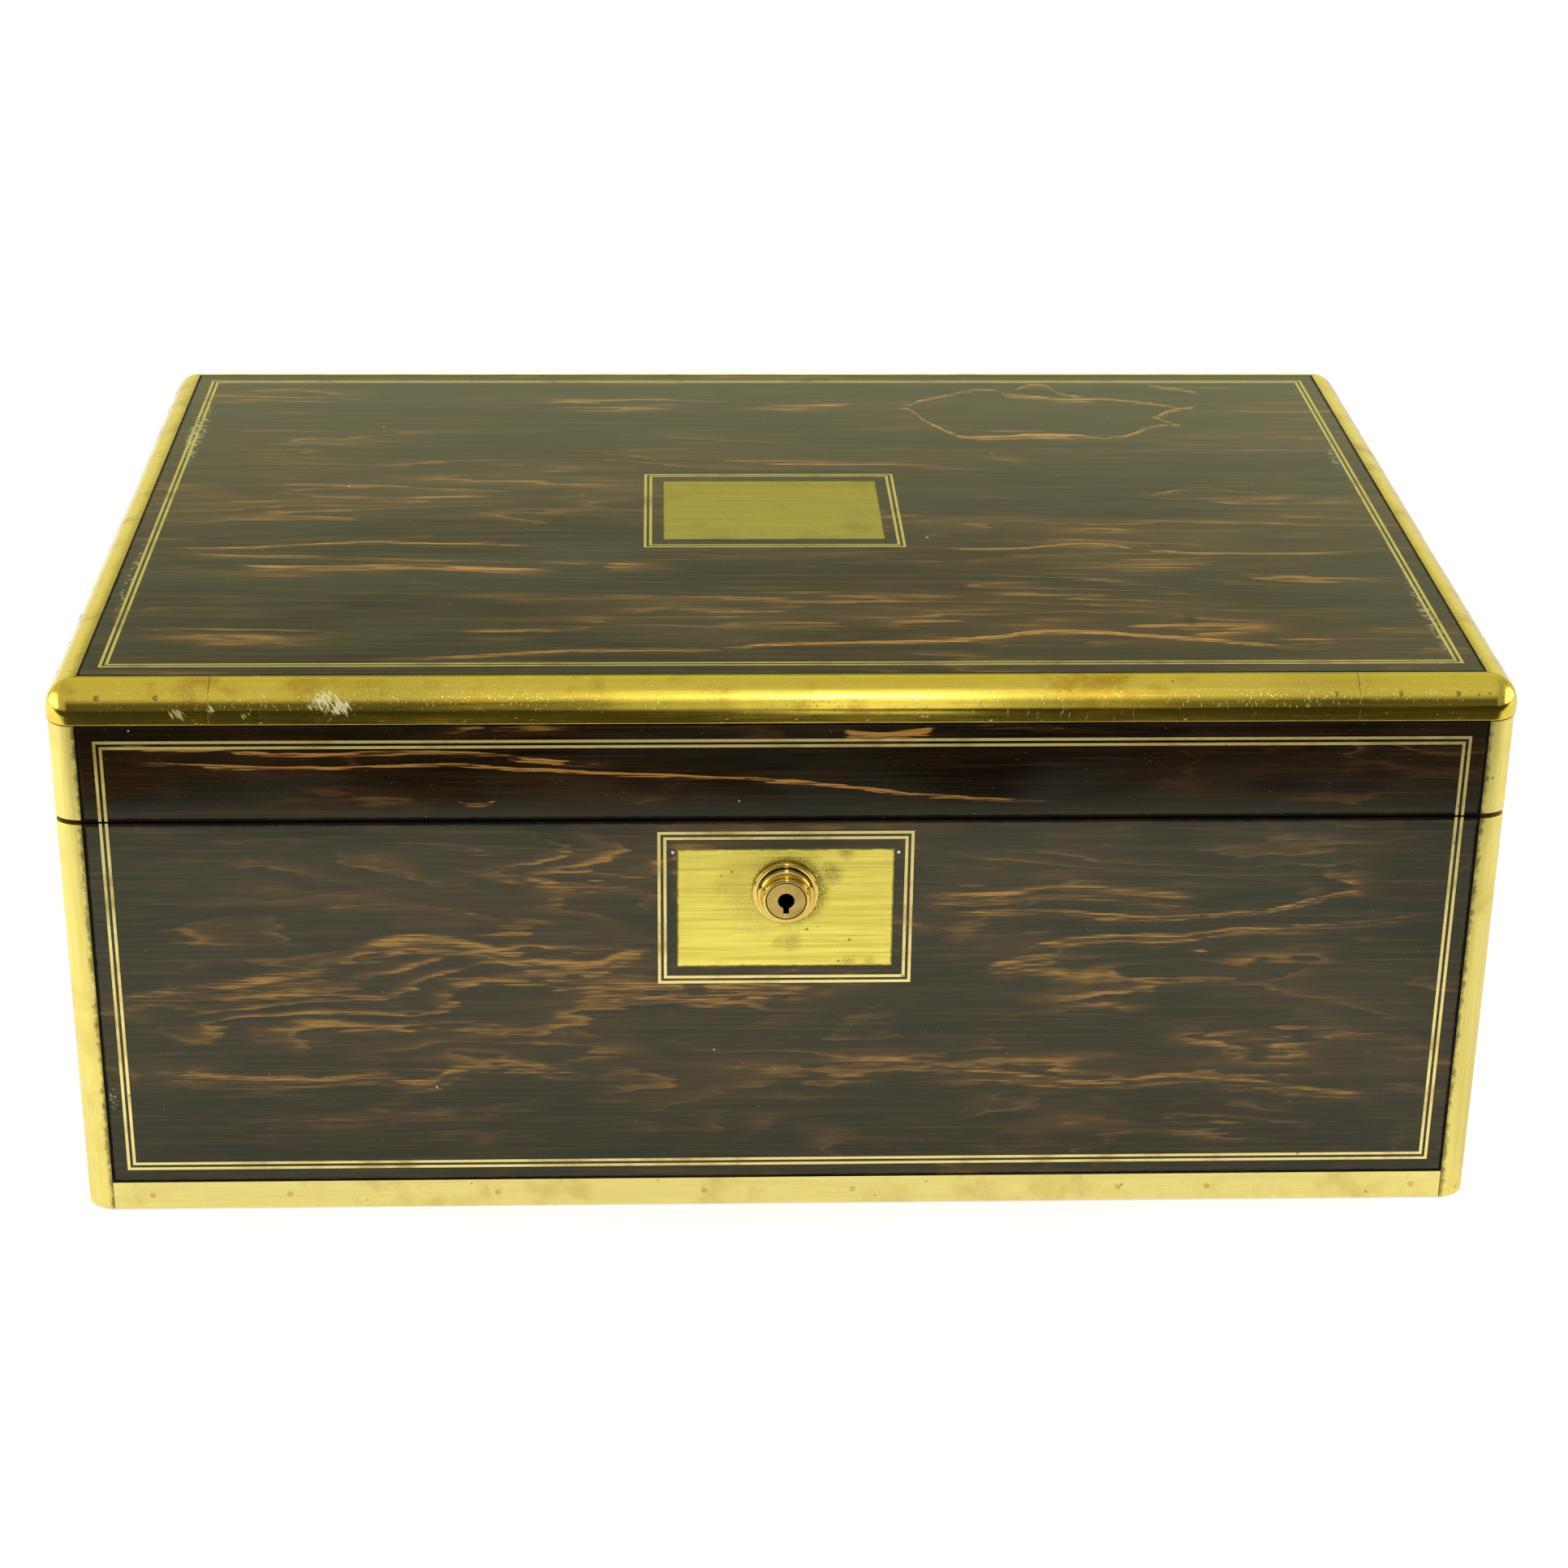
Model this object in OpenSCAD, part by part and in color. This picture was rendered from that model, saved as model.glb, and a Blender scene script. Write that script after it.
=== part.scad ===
// Brass-bound writing slope (lap desk), closed, standing on its underside.
// X runs along the width, the lock faces -Y, the lid hinges at the +Y side.
// The origin is the centre of the underside and the lock face is the tall side of the base.
// The lid swings half a turn about the long hinge edge and then lies on the table,
// so that the two leather flaps make one continuous writing slope.

/* [Box] */
// Width of the closed box over the faces
body_w = 406; // [360:1:450]
// Depth of the closed box over the faces
body_d = 286; // [260:1:320]
// Height of the closed box
body_h = 165; // [156:1:176]
// Height of the seam between base and lid at the lock face
seam_front_h = 124.7; // [118:0.1:128]
// Width of the seam between base and lid
seam_gap = 0.6; // [0.4:0.1:1]
// Thickness of the carcass walls behind the veneer
core_t = 10.8; // [10.2:0.1:13]
// Thickness of the veneer
veneer_t = 1.2; // [0.9:0.1:1.6]
// Thickness of the bottom board
bottom_t = 8; // [6:0.5:10]
// Thickness of the baize glued under the bottom board
baize_t = 0.8; // [0.5:0.1:1.5]
// Thickness of the board under the top veneer
lid_top_t = 8; // [7:0.5:10]

/* [Brass edging] */
// Outer radius of the vertical corners in plan
corner_r = 8; // [6:0.5:10]
// Flat of a corner strap beyond its round part, on each face
strap_flat = 0.35; // [0.2:0.05:2]
// Thickness of a corner strap at its edges
strap_t = 3.8; // [3.4:0.1:4.4]
// Thickness of the strips round the foot
foot_strip_t = 2; // [1.6:0.1:3]
// Amount by which the rim of the lid stands proud of the faces
rim_proud = 0.4; // [0.2:0.1:0.6]
// Height of the rim on the faces
rim_drop = 10.9; // [10:0.1:13]
// Flat ledge of the rim on the top, inside its round part
rim_ledge = 0.5; // [0.3:0.1:2]
// Thickness of the rim at its edges
rim_t = 4; // [3.8:0.1:4.6]
// Length of a rim corner piece along the width
rim_leg_x = 45; // [36:1:60]
// Length of a rim corner piece along the depth
rim_leg_y = 52; // [40:1:70]

/* [Brass stringing] */
// Width of one inlaid line
line_w = 0.85; // [0.6:0.05:1.2]
// Distance between the two lines of a pair, centre to centre
line_pitch = 1.65; // [1.5:0.05:2.6]
// Depth of the inlaid lines
line_t = 0.6; // [0.4:0.1:0.7]
// Distance from the side faces to the line on the lock face
front_line_side = 13; // [12:0.5:18]
// Distance from the underside to the line on the lock face
front_line_low = 13; // [12:0.5:18]
// Distance from the top to the line on the lock face
front_line_high = 15.8; // [14.5:0.1:20]
// Distance from the side faces to the line on the top
top_line_side = 13.5; // [12.5:0.1:20]
// Distance from the long faces to the line on the top
top_line_end = 14.7; // [12.5:0.1:20]

/* [Name plate] */
// Width of the bare plate on the top
plate_w = 68; // [50:1:90]
// Depth of the bare plate on the top
plate_d = 53; // [36:1:70]
// Distance of the bare plate from the middle of the top, towards the lock face
plate_shift = 2.5; // [0:0.5:10]
// Distance from the bare plate to the outer line round it, along the width
plate_frame_x = 5.8; // [4:0.1:9]
// Distance from the bare plate to the outer line round it, along the depth
plate_frame_y = 6.7; // [4:0.1:9]

/* [Lock] */
// Width of the lock plate on the face
lock_plate_w = 61; // [50:1:70]
// Height of the lock plate on the face
lock_plate_h = 37; // [30:1:42]
// Thickness of the lock plate
lock_plate_t = 1.6; // [1.4:0.1:1.8]
// Height of the middle of the lock plate above the underside
lock_plate_z = 97.1; // [92:0.1:99]
// Distance from the lock plate to the outer line round it
lock_frame = 5.4; // [4:0.1:6]
// Height of the key's axis above the middle of the lock plate
key_rise = 5.2; // [4:0.1:7]
// Radius of the base ring of the nozzle
nozzle_ring_r = 9.3; // [8.6:0.1:11]
// Distance by which the nozzle stands out of the plate
nozzle_out = 6.1; // [5:0.1:8]
// Radius of the turning barrel
barrel_r = 5.6; // [5.2:0.1:5.8]
// Radius of the round part of the keyhole
key_r = 2.35; // [2:0.05:2.6]
// Width of the slot of the keyhole
key_slot_w = 1.65; // [1.2:0.05:2]
// Reach of the slot below the key's axis
key_slot_reach = 3.9; // [3.4:0.1:4.4]
// Width of the lock case
case_w = 62; // [62:1:80]
// Depth of the lock case, let into the wall
case_d = 9.4; // [9.2:0.1:9.6]
// Sheet thickness of the lock case
case_t = 1.2; // [1:0.1:1.4]
// Travel of the bolt
bolt_travel = 5; // [4:0.1:6]
// Distance of each link from the end of the lock case
link_inset = 13; // [12:0.5:15]
// Length of a link below the seam
link_len = 11.3; // [10.5:0.1:12]
// Thickness of the plates that face the lock on the seam
selvedge_t = 1.6; // [1.2:0.1:1.8]
// Height of the lock case below the key's axis
case_below = 19; // [16:0.5:22]
// Half height of the bolt plate
bolt_half_h = 7; // [6.5:0.1:8]
// Thickness of the bolt plate
bolt_t = 1.6; // [1.4:0.1:1.8]

/* [Lid hinges] */
// Length of one lid hinge
hinge_len = 52; // [40:1:70]
// Distance of each lid hinge from the middle
hinge_x = 128; // [100:1:140]
// Radius of the lid hinge barrel
hinge_r = 2.8; // [2.5:0.1:3.2]
// Radius of the lid hinge pin
hinge_pin_r = 1.2; // [1:0.1:1.5]
// Thickness of a lid hinge leaf
hinge_leaf_t = 1.4; // [1.1:0.1:1.8]
// Width of a lid hinge leaf from the pin's axis
hinge_leaf_w = 9.5; // [8:0.1:11]
// Distance of the pin's axis outside the back face
hinge_out = 0.8; // [0.7:0.1:1.4]

/* [Writing flaps] */
// Depth of the writing surface below the seam
surface_drop = 2.2; // [2:0.1:3]
// Thickness of a flap board
flap_t = 6; // [5:0.5:8]
// Width of the rail that carries a flap's hinges
flap_rail_w = 12; // [11:0.5:16]
// Gap round a flap board
flap_gap = 0.6; // [0.5:0.1:1]
// Width of the wooden border round the leather
border_w = 13; // [12:0.5:20]
// Thickness of the leather
leather_t = 0.8; // [0.5:0.1:1.2]
// Width of the side bearers
bearer_w = 8; // [6:0.5:12]
// Height of the side bearers
bearer_t = 8; // [6:0.5:12]
// Length of one flap hinge
flap_hinge_len = 30; // [24:1:40]
// Distance of each flap hinge from the middle
flap_hinge_x = 120; // [90:1:140]
// Radius of the flap hinge barrel
flap_hinge_r = 1.6; // [1.4:0.05:1.7]
// Radius of the flap hinge pin
flap_pin_r = 0.8; // [0.7:0.05:0.9]
// Thickness of a flap hinge leaf
flap_leaf_t = 1; // [0.8:0.1:1.2]
// Width of a flap hinge leaf from the pin's axis
flap_leaf_w = 8; // [6:0.5:10]
// Width of the rail at the lock side of the lid
catch_rail_w = 18; // [17:0.5:24]
// Half length of the turn button
catch_reach = 9; // [8.5:0.1:10]
// Reach of the turned button over the flap
catch_grip = 3; // [2:0.1:4]
// Width of the turn button
catch_w = 5; // [4:0.1:6]
// Thickness of the turn button
catch_t = 1.1; // [0.8:0.1:1.2]
// Radius of the turn button's stud
catch_stud_r = 1.5; // [1.2:0.1:2]
// Width of the leather pull tab
tab_w = 14; // [10:1:24]
// Reach of the pull tab beyond the flap
tab_reach = 8; // [5:0.5:10]
// Thickness of the pull tab
tab_t = 0.7; // [0.5:0.1:1]

/* [Pen and ink compartment] */
// Clear width of the compartment behind the lock wall
ink_w = 48; // [46:1:60]
// Thickness of the divider behind the compartment
divider_t = 8; // [7:0.5:12]
// Thickness of the divider's lip in front of the flap
divider_lip = 3.5; // [3:0.1:5]
// Thickness of the compartment's floor
ink_floor_t = 6; // [5:0.5:8]
// Clear width of one ink bay
ink_bay_w = 46; // [45:1:60]
// Thickness of a partition
partition_t = 4; // [3:0.5:6]
// Side of a square ink bottle
bottle_w = 42; // [36:1:44]
// Height of a bottle to its shoulder
bottle_h = 31; // [26:1:34]
// Radius of a bottle's edges
bottle_edge_r = 4; // [2:0.5:6]
// Radius of a bottle's neck
neck_r = 10; // [8:0.5:11]
// Height of a bottle's neck
neck_h = 7; // [6:0.5:9]
// Thickness of a bottle's glass at the floor and walls
glass_t = 5; // [3.5:0.5:7]
// Radius of an ink cap
cap_r = 12.6; // [12:0.1:15]
// Thickness of an ink cap over the neck
cap_wall = 2; // [1.4:0.1:3]
// Height of the dome on an ink cap
cap_dome = 1.6; // [1:0.1:2.4]
// Thickness of the pen tray
tray_h = 15; // [13:1:20]
// Depth of the scoop in the pen tray
scoop_d = 9; // [6:0.5:11]
// Depth of the pen tray below the writing surface
tray_drop = 5; // [3:0.5:9]
// Side of the strips that the pen tray rests on
tray_bearer = 6; // [4:0.5:9]
// Width of the pen tray's flat edge beside the scoop
tray_rim = 3; // [2:0.5:5]

/* [Hidden] */

$fn = 64;

// Named clearances and small allowances
turn_clear = 0.05;
swing_clear = 0.3;
rest_gap = 0.1;
slide_gap = 0.4;
seat_gap = 0.05;
over_cut = 1;
big = 2 * body_w;

// Places that follow from the sizes above
wall_t = core_t + veneer_t;
half_w = body_w / 2;
half_d = body_d / 2;
inner_x = half_w - wall_t;
inner_y = half_d - wall_t;
foot_h = baize_t + bottom_t;
hinge_y = half_d + hinge_out;
hinge_z = body_h / 2;
slope = atan((seam_front_h - hinge_z) / (hinge_y + half_d));
strap_w = corner_r + strap_flat;
rim_r = corner_r + rim_proud;
rim_in = corner_r + rim_ledge;
rim_seat = rim_t - rim_proud;
rim_low_z = body_h - rim_drop;
lid_wall_top = body_h - veneer_t - lid_top_t;

// Height of the seam plane above the underside at a given y
function seam_z(y) = hinge_z + (hinge_y - y) * tan(slope);
// Distance up the slope from the lid's axis to a vertical plane y, at a height above the seam plane
function up_slope(y, rise) = (hinge_y - y + rise * sin(slope)) / cos(slope);
// Row-frame y and z of a point on the slope
function slope_y(up, rise) = hinge_y - up * cos(slope) + rise * sin(slope);
function slope_z(up, rise) = hinge_z + up * sin(slope) + rise * cos(slope);

// Flaps
flap_axis = up_slope(inner_y, 0) + flap_rail_w;
flap_under = surface_drop + flap_t;
divider_y = ink_w - inner_y;
divider_back = divider_y + divider_t;
upper_flap_end = up_slope(divider_y + divider_lip, -flap_under) - flap_gap;
catch_rail_up = up_slope(-inner_y, surface_drop) - catch_rail_w;
lower_flap_end = catch_rail_up - flap_gap;
catch_up = catch_rail_up + catch_reach - catch_grip;
catch_lift = 0.2;
catch_stud_len = 5;
tab_hold = 9;

// Ink and pens
bottle_clear = 2;
cap_lift = 0.2;
cap_bead = 0.9;
cap_h = neck_h + cap_wall;
ink_floor_z = seam_z(divider_y) - surface_drop - bottle_clear - cap_dome - cap_h - cap_lift - bottle_h;
bottle_x = inner_x - ink_bay_w / 2;
bottle_y = (divider_y - inner_y) / 2;
partition_x = inner_x - ink_bay_w;
tray_z = seam_z(divider_y) - surface_drop - tray_drop;

// Lock
lock_z = lock_plate_z + key_rise;
case_y = -inner_y - case_d;
link_x = case_w / 2 - link_inset;
case_low = lock_z - case_below;
selvedge_over = 4;
sleeve_r = barrel_r + 1.4;
link_t = 2.2;
link_w = 4.4;
link_hole_w = 2.4;
link_hole_h = 4;
link_foot = 1.6;
link_hole_rise = link_foot + link_w / 2 - link_len;
link_up = up_slope((case_y - inner_y) / 2, -link_len / 2);
bolt_y = slope_y(link_up, link_hole_rise);
nose_z = slope_z(link_up, link_hole_rise);
nose_h = 2.6;
nose_gap = 0.5;
nose_len = bolt_travel + nose_gap;
riser_w = 2.8;
bolt_low = lock_z - bolt_half_h;
bolt_high = lock_z + bolt_half_h;
cam_r = 1.2;
cam_off = bolt_travel / 2;
barrel_back = bolt_y - bolt_t / 2 - swing_clear;
key_web = 2.4;

// Turned profile of the lock nozzle, as radius and distance out of the plate
ring_h = 1.5;
step_h = 0.9;
lip_r = barrel_r + 1;
step_r = lip_r + 1.25;
lip_h = 1.3;
lip_round = 0.45;
cove_foot = ring_h + step_h;
cove_top = nozzle_out - lip_h;
cove_r = step_r - lip_r - 0.1;
sleeve_back = -(case_y + half_d);
nozzle_bore = barrel_r + turn_clear;
cove_rise = cove_top - cove_foot;
cove = [for (t = [0:11.25:90]) [step_r - cove_r * sin(t), cove_foot + cove_rise * (1 - cos(t))]];
nozzle_profile = concat(
    [[nozzle_bore, sleeve_back], [sleeve_r, sleeve_back], [sleeve_r, 0], [nozzle_ring_r, 0]],
    rounded_edge(nozzle_ring_r, ring_h),
    [[step_r, ring_h]],
    cove,
    [[lip_r, cove_top]],
    rounded_edge(lip_r, nozzle_out),
    [[nozzle_bore, nozzle_out]]
);

// Points of a rounded outer edge that ends a turned step
function rounded_edge(r, top) =
    [for (t = [0:30:90]) [r - lip_round * (1 - cos(t)), top - lip_round * (1 - sin(t))]];
// Radius of a ball that rises by the dome's height over a given radius
function dome_r(r) = (r * r + cap_dome * cap_dome) / (2 * cap_dome);

// Everything above the seam plane, lowered by a drop
module above_seam(drop) {
    translate([0, hinge_y, hinge_z])
        rotate([-slope, 0, 0])
            translate([-big, -big, -drop])
                cube([2 * big, 2 * big, big]);
}

// Everything below the seam plane, raised by a rise
module below_seam(rise) {
    translate([0, hinge_y, hinge_z])
        rotate([-slope, 0, 0])
            translate([-big, -big, rise - big])
                cube([2 * big, 2 * big, big]);
}

// Cuts children off at the seam plane, as a part of the base
module base_cut(drop = seam_gap / 2) {
    difference() {
        children();
        above_seam(drop);
    }
}

// Cuts children off at the seam plane, as a part of the lid
module lid_cut(rise = seam_gap / 2) {
    difference() {
        children();
        below_seam(rise);
    }
}

// Puts children in the slope's frame: -Y runs up the slope from the lid's axis, Z out of the seam plane
module on_slope() {
    translate([0, hinge_y, hinge_z])
        rotate([-slope, 0, 0])
            children();
}

// The same for the lid: what is drawn below the seam plane lies mirrored above it
module in_lid() {
    on_slope()
        mirror([0, 0, 1])
            children();
}

// A block given by its low and high corners
module block(low, high) {
    translate(low)
        cube(high - low);
}

// A block on the slope, from one distance up the slope to another
module slope_block(x0, x1, up0, up1, low, high) {
    block([x0, -up1, low], [x1, -up0, high]);
}

module mirrored_x() {
    children();
    mirror([1, 0, 0])
        children();
}

module four_corners() {
    for (sx = [-1, 1], sy = [-1, 1])
        translate([sx > 0 ? half_w : -half_w, sy > 0 ? half_d : -half_d, 0])
            mirror([sx > 0 ? 0 : 1, 0, 0])
                mirror([0, sy > 0 ? 0 : 1, 0])
                    children();
}

// The hollow inside the four walls
module interior() {
    block([-inner_x, -inner_y, 0], [inner_x, inner_y, body_h]);
}

// Corner strap: quarter-round brass angle with a square rebate for the carcass
module strap_section() {
    difference() {
        union() {
            translate([-strap_w, -strap_w])
                square([strap_w, strap_w - corner_r]);
            translate([-strap_w, -strap_w])
                square([strap_w - corner_r, strap_w]);
            intersection() {
                translate([-corner_r, -corner_r])
                    circle(corner_r);
                translate([-corner_r, -corner_r])
                    square(corner_r);
            }
        }
        translate([-strap_w - over_cut, -strap_w - over_cut])
            square(strap_w + over_cut - strap_t);
    }
}

module strap_column(low, high) {
    four_corners()
        translate([0, 0, low])
            linear_extrude(high - low)
                strap_section();
}

// The square rebate that the straps fill, cut from the carcass corners
module strap_rebate() {
    four_corners()
        difference() {
            block([-strap_w, -strap_w, -over_cut], [over_cut, over_cut, body_h + over_cut]);
            block([-strap_w - over_cut, -strap_w - over_cut, -2 * over_cut],
                  [-strap_t, -strap_t, body_h + 2 * over_cut]);
        }
}

// Space outside the rim's seat, cut from the carcass of the lid
module rim_rebate() {
    difference() {
        block([-half_w - over_cut, -half_d - over_cut, rim_low_z],
              [half_w + over_cut, half_d + over_cut, body_h]);
        block([rim_seat - half_w, rim_seat - half_d, 0],
              [half_w - rim_seat, half_d - rim_seat, body_h + over_cut]);
    }
}

// Outline of the quarter-round rim, before its seat is cut, with the arc's centre at the origin
module rim_outline() {
    intersection() {
        circle(rim_r);
        square(rim_r);
    }
    translate([-rim_ledge, rim_r - rim_drop])
        square([rim_ledge + rim_r, rim_drop - rim_r]);
    translate([-rim_ledge, 0])
        square([rim_ledge, rim_r]);
}

// One rim corner with its two legs: a ball corner between two quarter rounds
module rim_corner_solid() {
    centre = [-corner_r, -corner_r, body_h - rim_r];
    difference() {
        union() {
            translate(centre)
                rotate_extrude(angle = 90)
                    intersection() {
                        rim_outline();
                        translate([0, -rim_drop])
                            square([rim_r, 2 * rim_drop]);
                    }
            translate(centre)
                rotate([90, 0, 0])
                    linear_extrude(rim_leg_y - corner_r)
                        rim_outline();
            translate(centre)
                rotate([90, 0, -90])
                    mirror([1, 0, 0])
                        linear_extrude(rim_leg_x - corner_r)
                            rim_outline();
        }
        rim_inside();
    }
}

// The carcass under the rim, and the field of the top that the rim frames
module rim_inside() {
    block([-half_w, -half_d, rim_low_z - over_cut], [-rim_seat, -rim_seat, body_h - rim_t]);
    block([-half_w, -half_d, rim_low_z - over_cut], [-rim_in, -rim_in, body_h + over_cut]);
}

// A length of straight rim between two corner pieces
module rim_strip_solid(length) {
    difference() {
        translate([-corner_r, 0, body_h - rim_r])
            rotate([90, 0, 0])
                translate([0, 0, -length / 2])
                    linear_extrude(length)
                        rim_outline();
        block([-half_w, -length, rim_low_z - over_cut], [-rim_seat, length, body_h - rim_t]);
        block([-half_w, -length, rim_low_z - over_cut], [-rim_in, length, body_h + over_cut]);
    }
}

// Two nested rectangular lines, the outer one with the given outer size
module line_pair(w, h) {
    for (inset = [0, line_pitch])
        difference() {
            square([w - 2 * inset, h - 2 * inset], center = true);
            square([w - 2 * inset - 2 * line_w, h - 2 * inset - 2 * line_w], center = true);
        }
}

// Lines inlaid in the lock face, over its whole height
module front_lines() {
    high = body_h - front_line_high;
    translate([0, line_t - half_d, (front_line_low + high) / 2])
        rotate([90, 0, 0])
            linear_extrude(line_t)
                line_pair(body_w - 2 * front_line_side, high - front_line_low);
}

// Lines round the lock plate
module lock_lines() {
    translate([0, line_t - half_d, lock_plate_z])
        rotate([90, 0, 0])
            linear_extrude(line_t)
                line_pair(lock_plate_w + 2 * lock_frame, lock_plate_h + 2 * lock_frame);
}

// Lines inlaid in the top, and round the bare plate
module top_lines() {
    translate([0, 0, body_h - line_t])
        linear_extrude(line_t) {
            line_pair(body_w - 2 * top_line_side, body_d - 2 * top_line_end);
            translate([0, -plate_shift])
                line_pair(plate_w + 2 * plate_frame_x, plate_d + 2 * plate_frame_y);
        }
}

module name_plate_space(over) {
    block([-plate_w / 2, -plate_d / 2 - plate_shift, body_h - veneer_t - over],
          [plate_w / 2, plate_d / 2 - plate_shift, body_h + over]);
}

// One leaf of a butt hinge along X, with its pin's axis at the origin
// The leaf lies from side 0 towards +Y or -Y, and owns every second knuckle
module hinge_leaf(count, first, length, r, bore, leaf_w, leaf_t, top, side) {
    pitch = length / count;
    reach = r + swing_clear;
    difference() {
        union() {
            hinge_leaf_plate(length, reach, leaf_w, leaf_t, top, side);
            for (i = [first:2:count - 1])
                translate([i * pitch - length / 2 + turn_clear, 0, 0]) {
                    rotate([0, 90, 0])
                        cylinder(r = r, h = pitch - 2 * turn_clear);
                    translate([0, side > 0 ? 0 : -reach, top - leaf_t])
                        cube([pitch - 2 * turn_clear, reach, leaf_t]);
                }
        }
        if (bore > 0)
            rotate([0, 90, 0])
                cylinder(r = bore, h = length + 2 * over_cut, center = true);
    }
}

module hinge_leaf_plate(length, reach, leaf_w, leaf_t, top, side) {
    translate([-length / 2, side > 0 ? reach : -leaf_w, top - leaf_t])
        cube([length, leaf_w - reach, leaf_t]);
}

// Space that a hinge takes out of the wood on one side of the seam
module hinge_recess(length, r, leaf_w, leaf_t, top, side) {
    rotate([0, 90, 0])
        cylinder(r = r + swing_clear, h = length + 2 * swing_clear, center = true);
    translate([-length / 2, side > 0 ? 0 : -leaf_w, top - leaf_t])
        cube([length, leaf_w, leaf_t + over_cut]);
}

module lid_hinge_recess() {
    for (x = [-hinge_x, hinge_x])
        translate([x, 0, 0])
            hinge_recess(hinge_len, hinge_r, hinge_leaf_w, hinge_leaf_t, -seam_gap / 2, -1);
}

module lid_hinge_leaf(first) {
    for (x = [-hinge_x, hinge_x])
        translate([x, 0, 0])
            hinge_leaf(5, first, hinge_len, hinge_r, hinge_pin_r + turn_clear,
                       hinge_leaf_w, hinge_leaf_t, -seam_gap / 2, -1);
}

// Puts children at both hinges of a flap, on the slope
module at_flap_hinges() {
    for (x = [-flap_hinge_x, flap_hinge_x])
        translate([x, -flap_axis, -surface_drop])
            children();
}

module flap_hinge_recess(side) {
    at_flap_hinges()
        hinge_recess(flap_hinge_len, flap_hinge_r, flap_leaf_w, flap_leaf_t, 0, side);
}

// Fixed half of a flap's hinges, with the pin in it
module flap_hinge_fixed() {
    at_flap_hinges() {
        hinge_leaf(3, 0, flap_hinge_len, flap_hinge_r, 0, flap_leaf_w, flap_leaf_t, 0, 1);
        rotate([0, 90, 0])
            cylinder(r = flap_pin_r, h = flap_hinge_len - 2 * turn_clear, center = true);
    }
}

module flap_hinge_moving() {
    at_flap_hinges()
        hinge_leaf(3, 1, flap_hinge_len, flap_hinge_r, flap_pin_r + turn_clear,
                   flap_leaf_w, flap_leaf_t, 0, -1);
}

// Rail that carries the flap's hinges, drawn from the hinge wall to the flap
module flap_rail() {
    difference() {
        slope_block(-inner_x, inner_x, 0, flap_axis - flap_gap / 2,
                    -flap_under - bearer_t, -surface_drop);
        flap_hinge_recess(1);
    }
}

// Flap board with its hinge recesses and the recess for the leather
module flap_board(end) {
    edge = inner_x - flap_gap;
    difference() {
        slope_block(-edge, edge, flap_axis + flap_gap / 2, end, rest_gap - flap_under, -surface_drop);
        flap_hinge_recess(-1);
        flap_field(end, over_cut);
    }
}

// The leather, let in flush inside the wooden border
module flap_field(end, over) {
    edge = inner_x - flap_gap - border_w;
    slope_block(-edge, edge, flap_axis + flap_gap / 2 + border_w, end - border_w,
                -surface_drop - leather_t, over - surface_drop);
}

// Side bearers under a flap, from the rail towards the lock side
module side_bearers(end) {
    mirrored_x()
        slope_block(inner_x - bearer_w, inner_x, flap_axis - flap_gap / 2, end,
                    -flap_under - bearer_t, -flap_under);
}

module base_front_wall() {
    color("saddlebrown")
        difference() {
            base_cut()
                block([veneer_t - half_w, veneer_t - half_d, foot_h],
                      [half_w - veneer_t, -inner_y, body_h]);
            strap_rebate();
            lock_mortise();
        }
}

// Everything that the lock takes out of the front wall
module lock_mortise() {
    block([-case_w / 2, case_y, case_low], [case_w / 2, over_cut - inner_y, body_h]);
    seam_slot(-seam_gap / 2 - selvedge_t, 0, seat_gap, over_cut);
    lock_plate_space();
    translate([0, -half_d, lock_z])
        rotate([-90, 0, 0])
            cylinder(r = sleeve_r + turn_clear, h = wall_t);
}

module lock_plate_space() {
    block([-lock_plate_w / 2, -half_d - over_cut, lock_plate_z - lock_plate_h / 2],
          [lock_plate_w / 2, lock_plate_t - half_d, lock_plate_z + lock_plate_h / 2]);
}

// A plate along the seam over the lock, from the case's front to the wall's inner face
module seam_plate(low, high) {
    seam_slot(low, high, 0, 0);
}

// The slot for such a plate, with room at its front and ends, and open at the wall's inner face
module seam_slot(low, high, room, over) {
    half = case_w / 2 + selvedge_over + room;
    intersection() {
        block([-half, case_y - room, 0], [half, over - inner_y, body_h]);
        on_slope()
            slope_block(-big, big, 0, big, low, high);
    }
}

module base_back_wall() {
    color("saddlebrown")
        difference() {
            base_cut()
                block([veneer_t - half_w, inner_y, foot_h],
                      [half_w - veneer_t, half_d - veneer_t, body_h]);
            strap_rebate();
            on_slope()
                lid_hinge_recess();
        }
}

module side_wall() {
    block([inner_x, -inner_y, foot_h], [half_w - veneer_t, inner_y, lid_wall_top]);
}

module base_left_wall() {
    color("saddlebrown")
        base_cut()
            mirror([1, 0, 0])
                side_wall();
}

module base_right_wall() {
    color("saddlebrown")
        base_cut()
            side_wall();
}

module base_bottom_board() {
    color("sienna")
        difference() {
            block([foot_strip_t - half_w, foot_strip_t - half_d, baize_t],
                  [half_w - foot_strip_t, half_d - foot_strip_t, foot_h]);
            strap_rebate();
        }
}

module front_veneer_slab(low, high) {
    block([strap_w - half_w, -half_d, low], [half_w - strap_w, veneer_t - half_d, high]);
}

module back_veneer_slab(low, high) {
    block([strap_w - half_w, half_d - veneer_t, low], [half_w - strap_w, half_d, high]);
}

module side_veneer_slabs(low, high) {
    mirrored_x()
        block([half_w - veneer_t, strap_w - half_d, low], [half_w, half_d - strap_w, high]);
}

module base_front_veneer() {
    color("darkslategray")
        difference() {
            base_cut()
                front_veneer_slab(foot_h, body_h);
            front_lines();
            lock_lines();
            lock_plate_space();
        }
}

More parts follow.
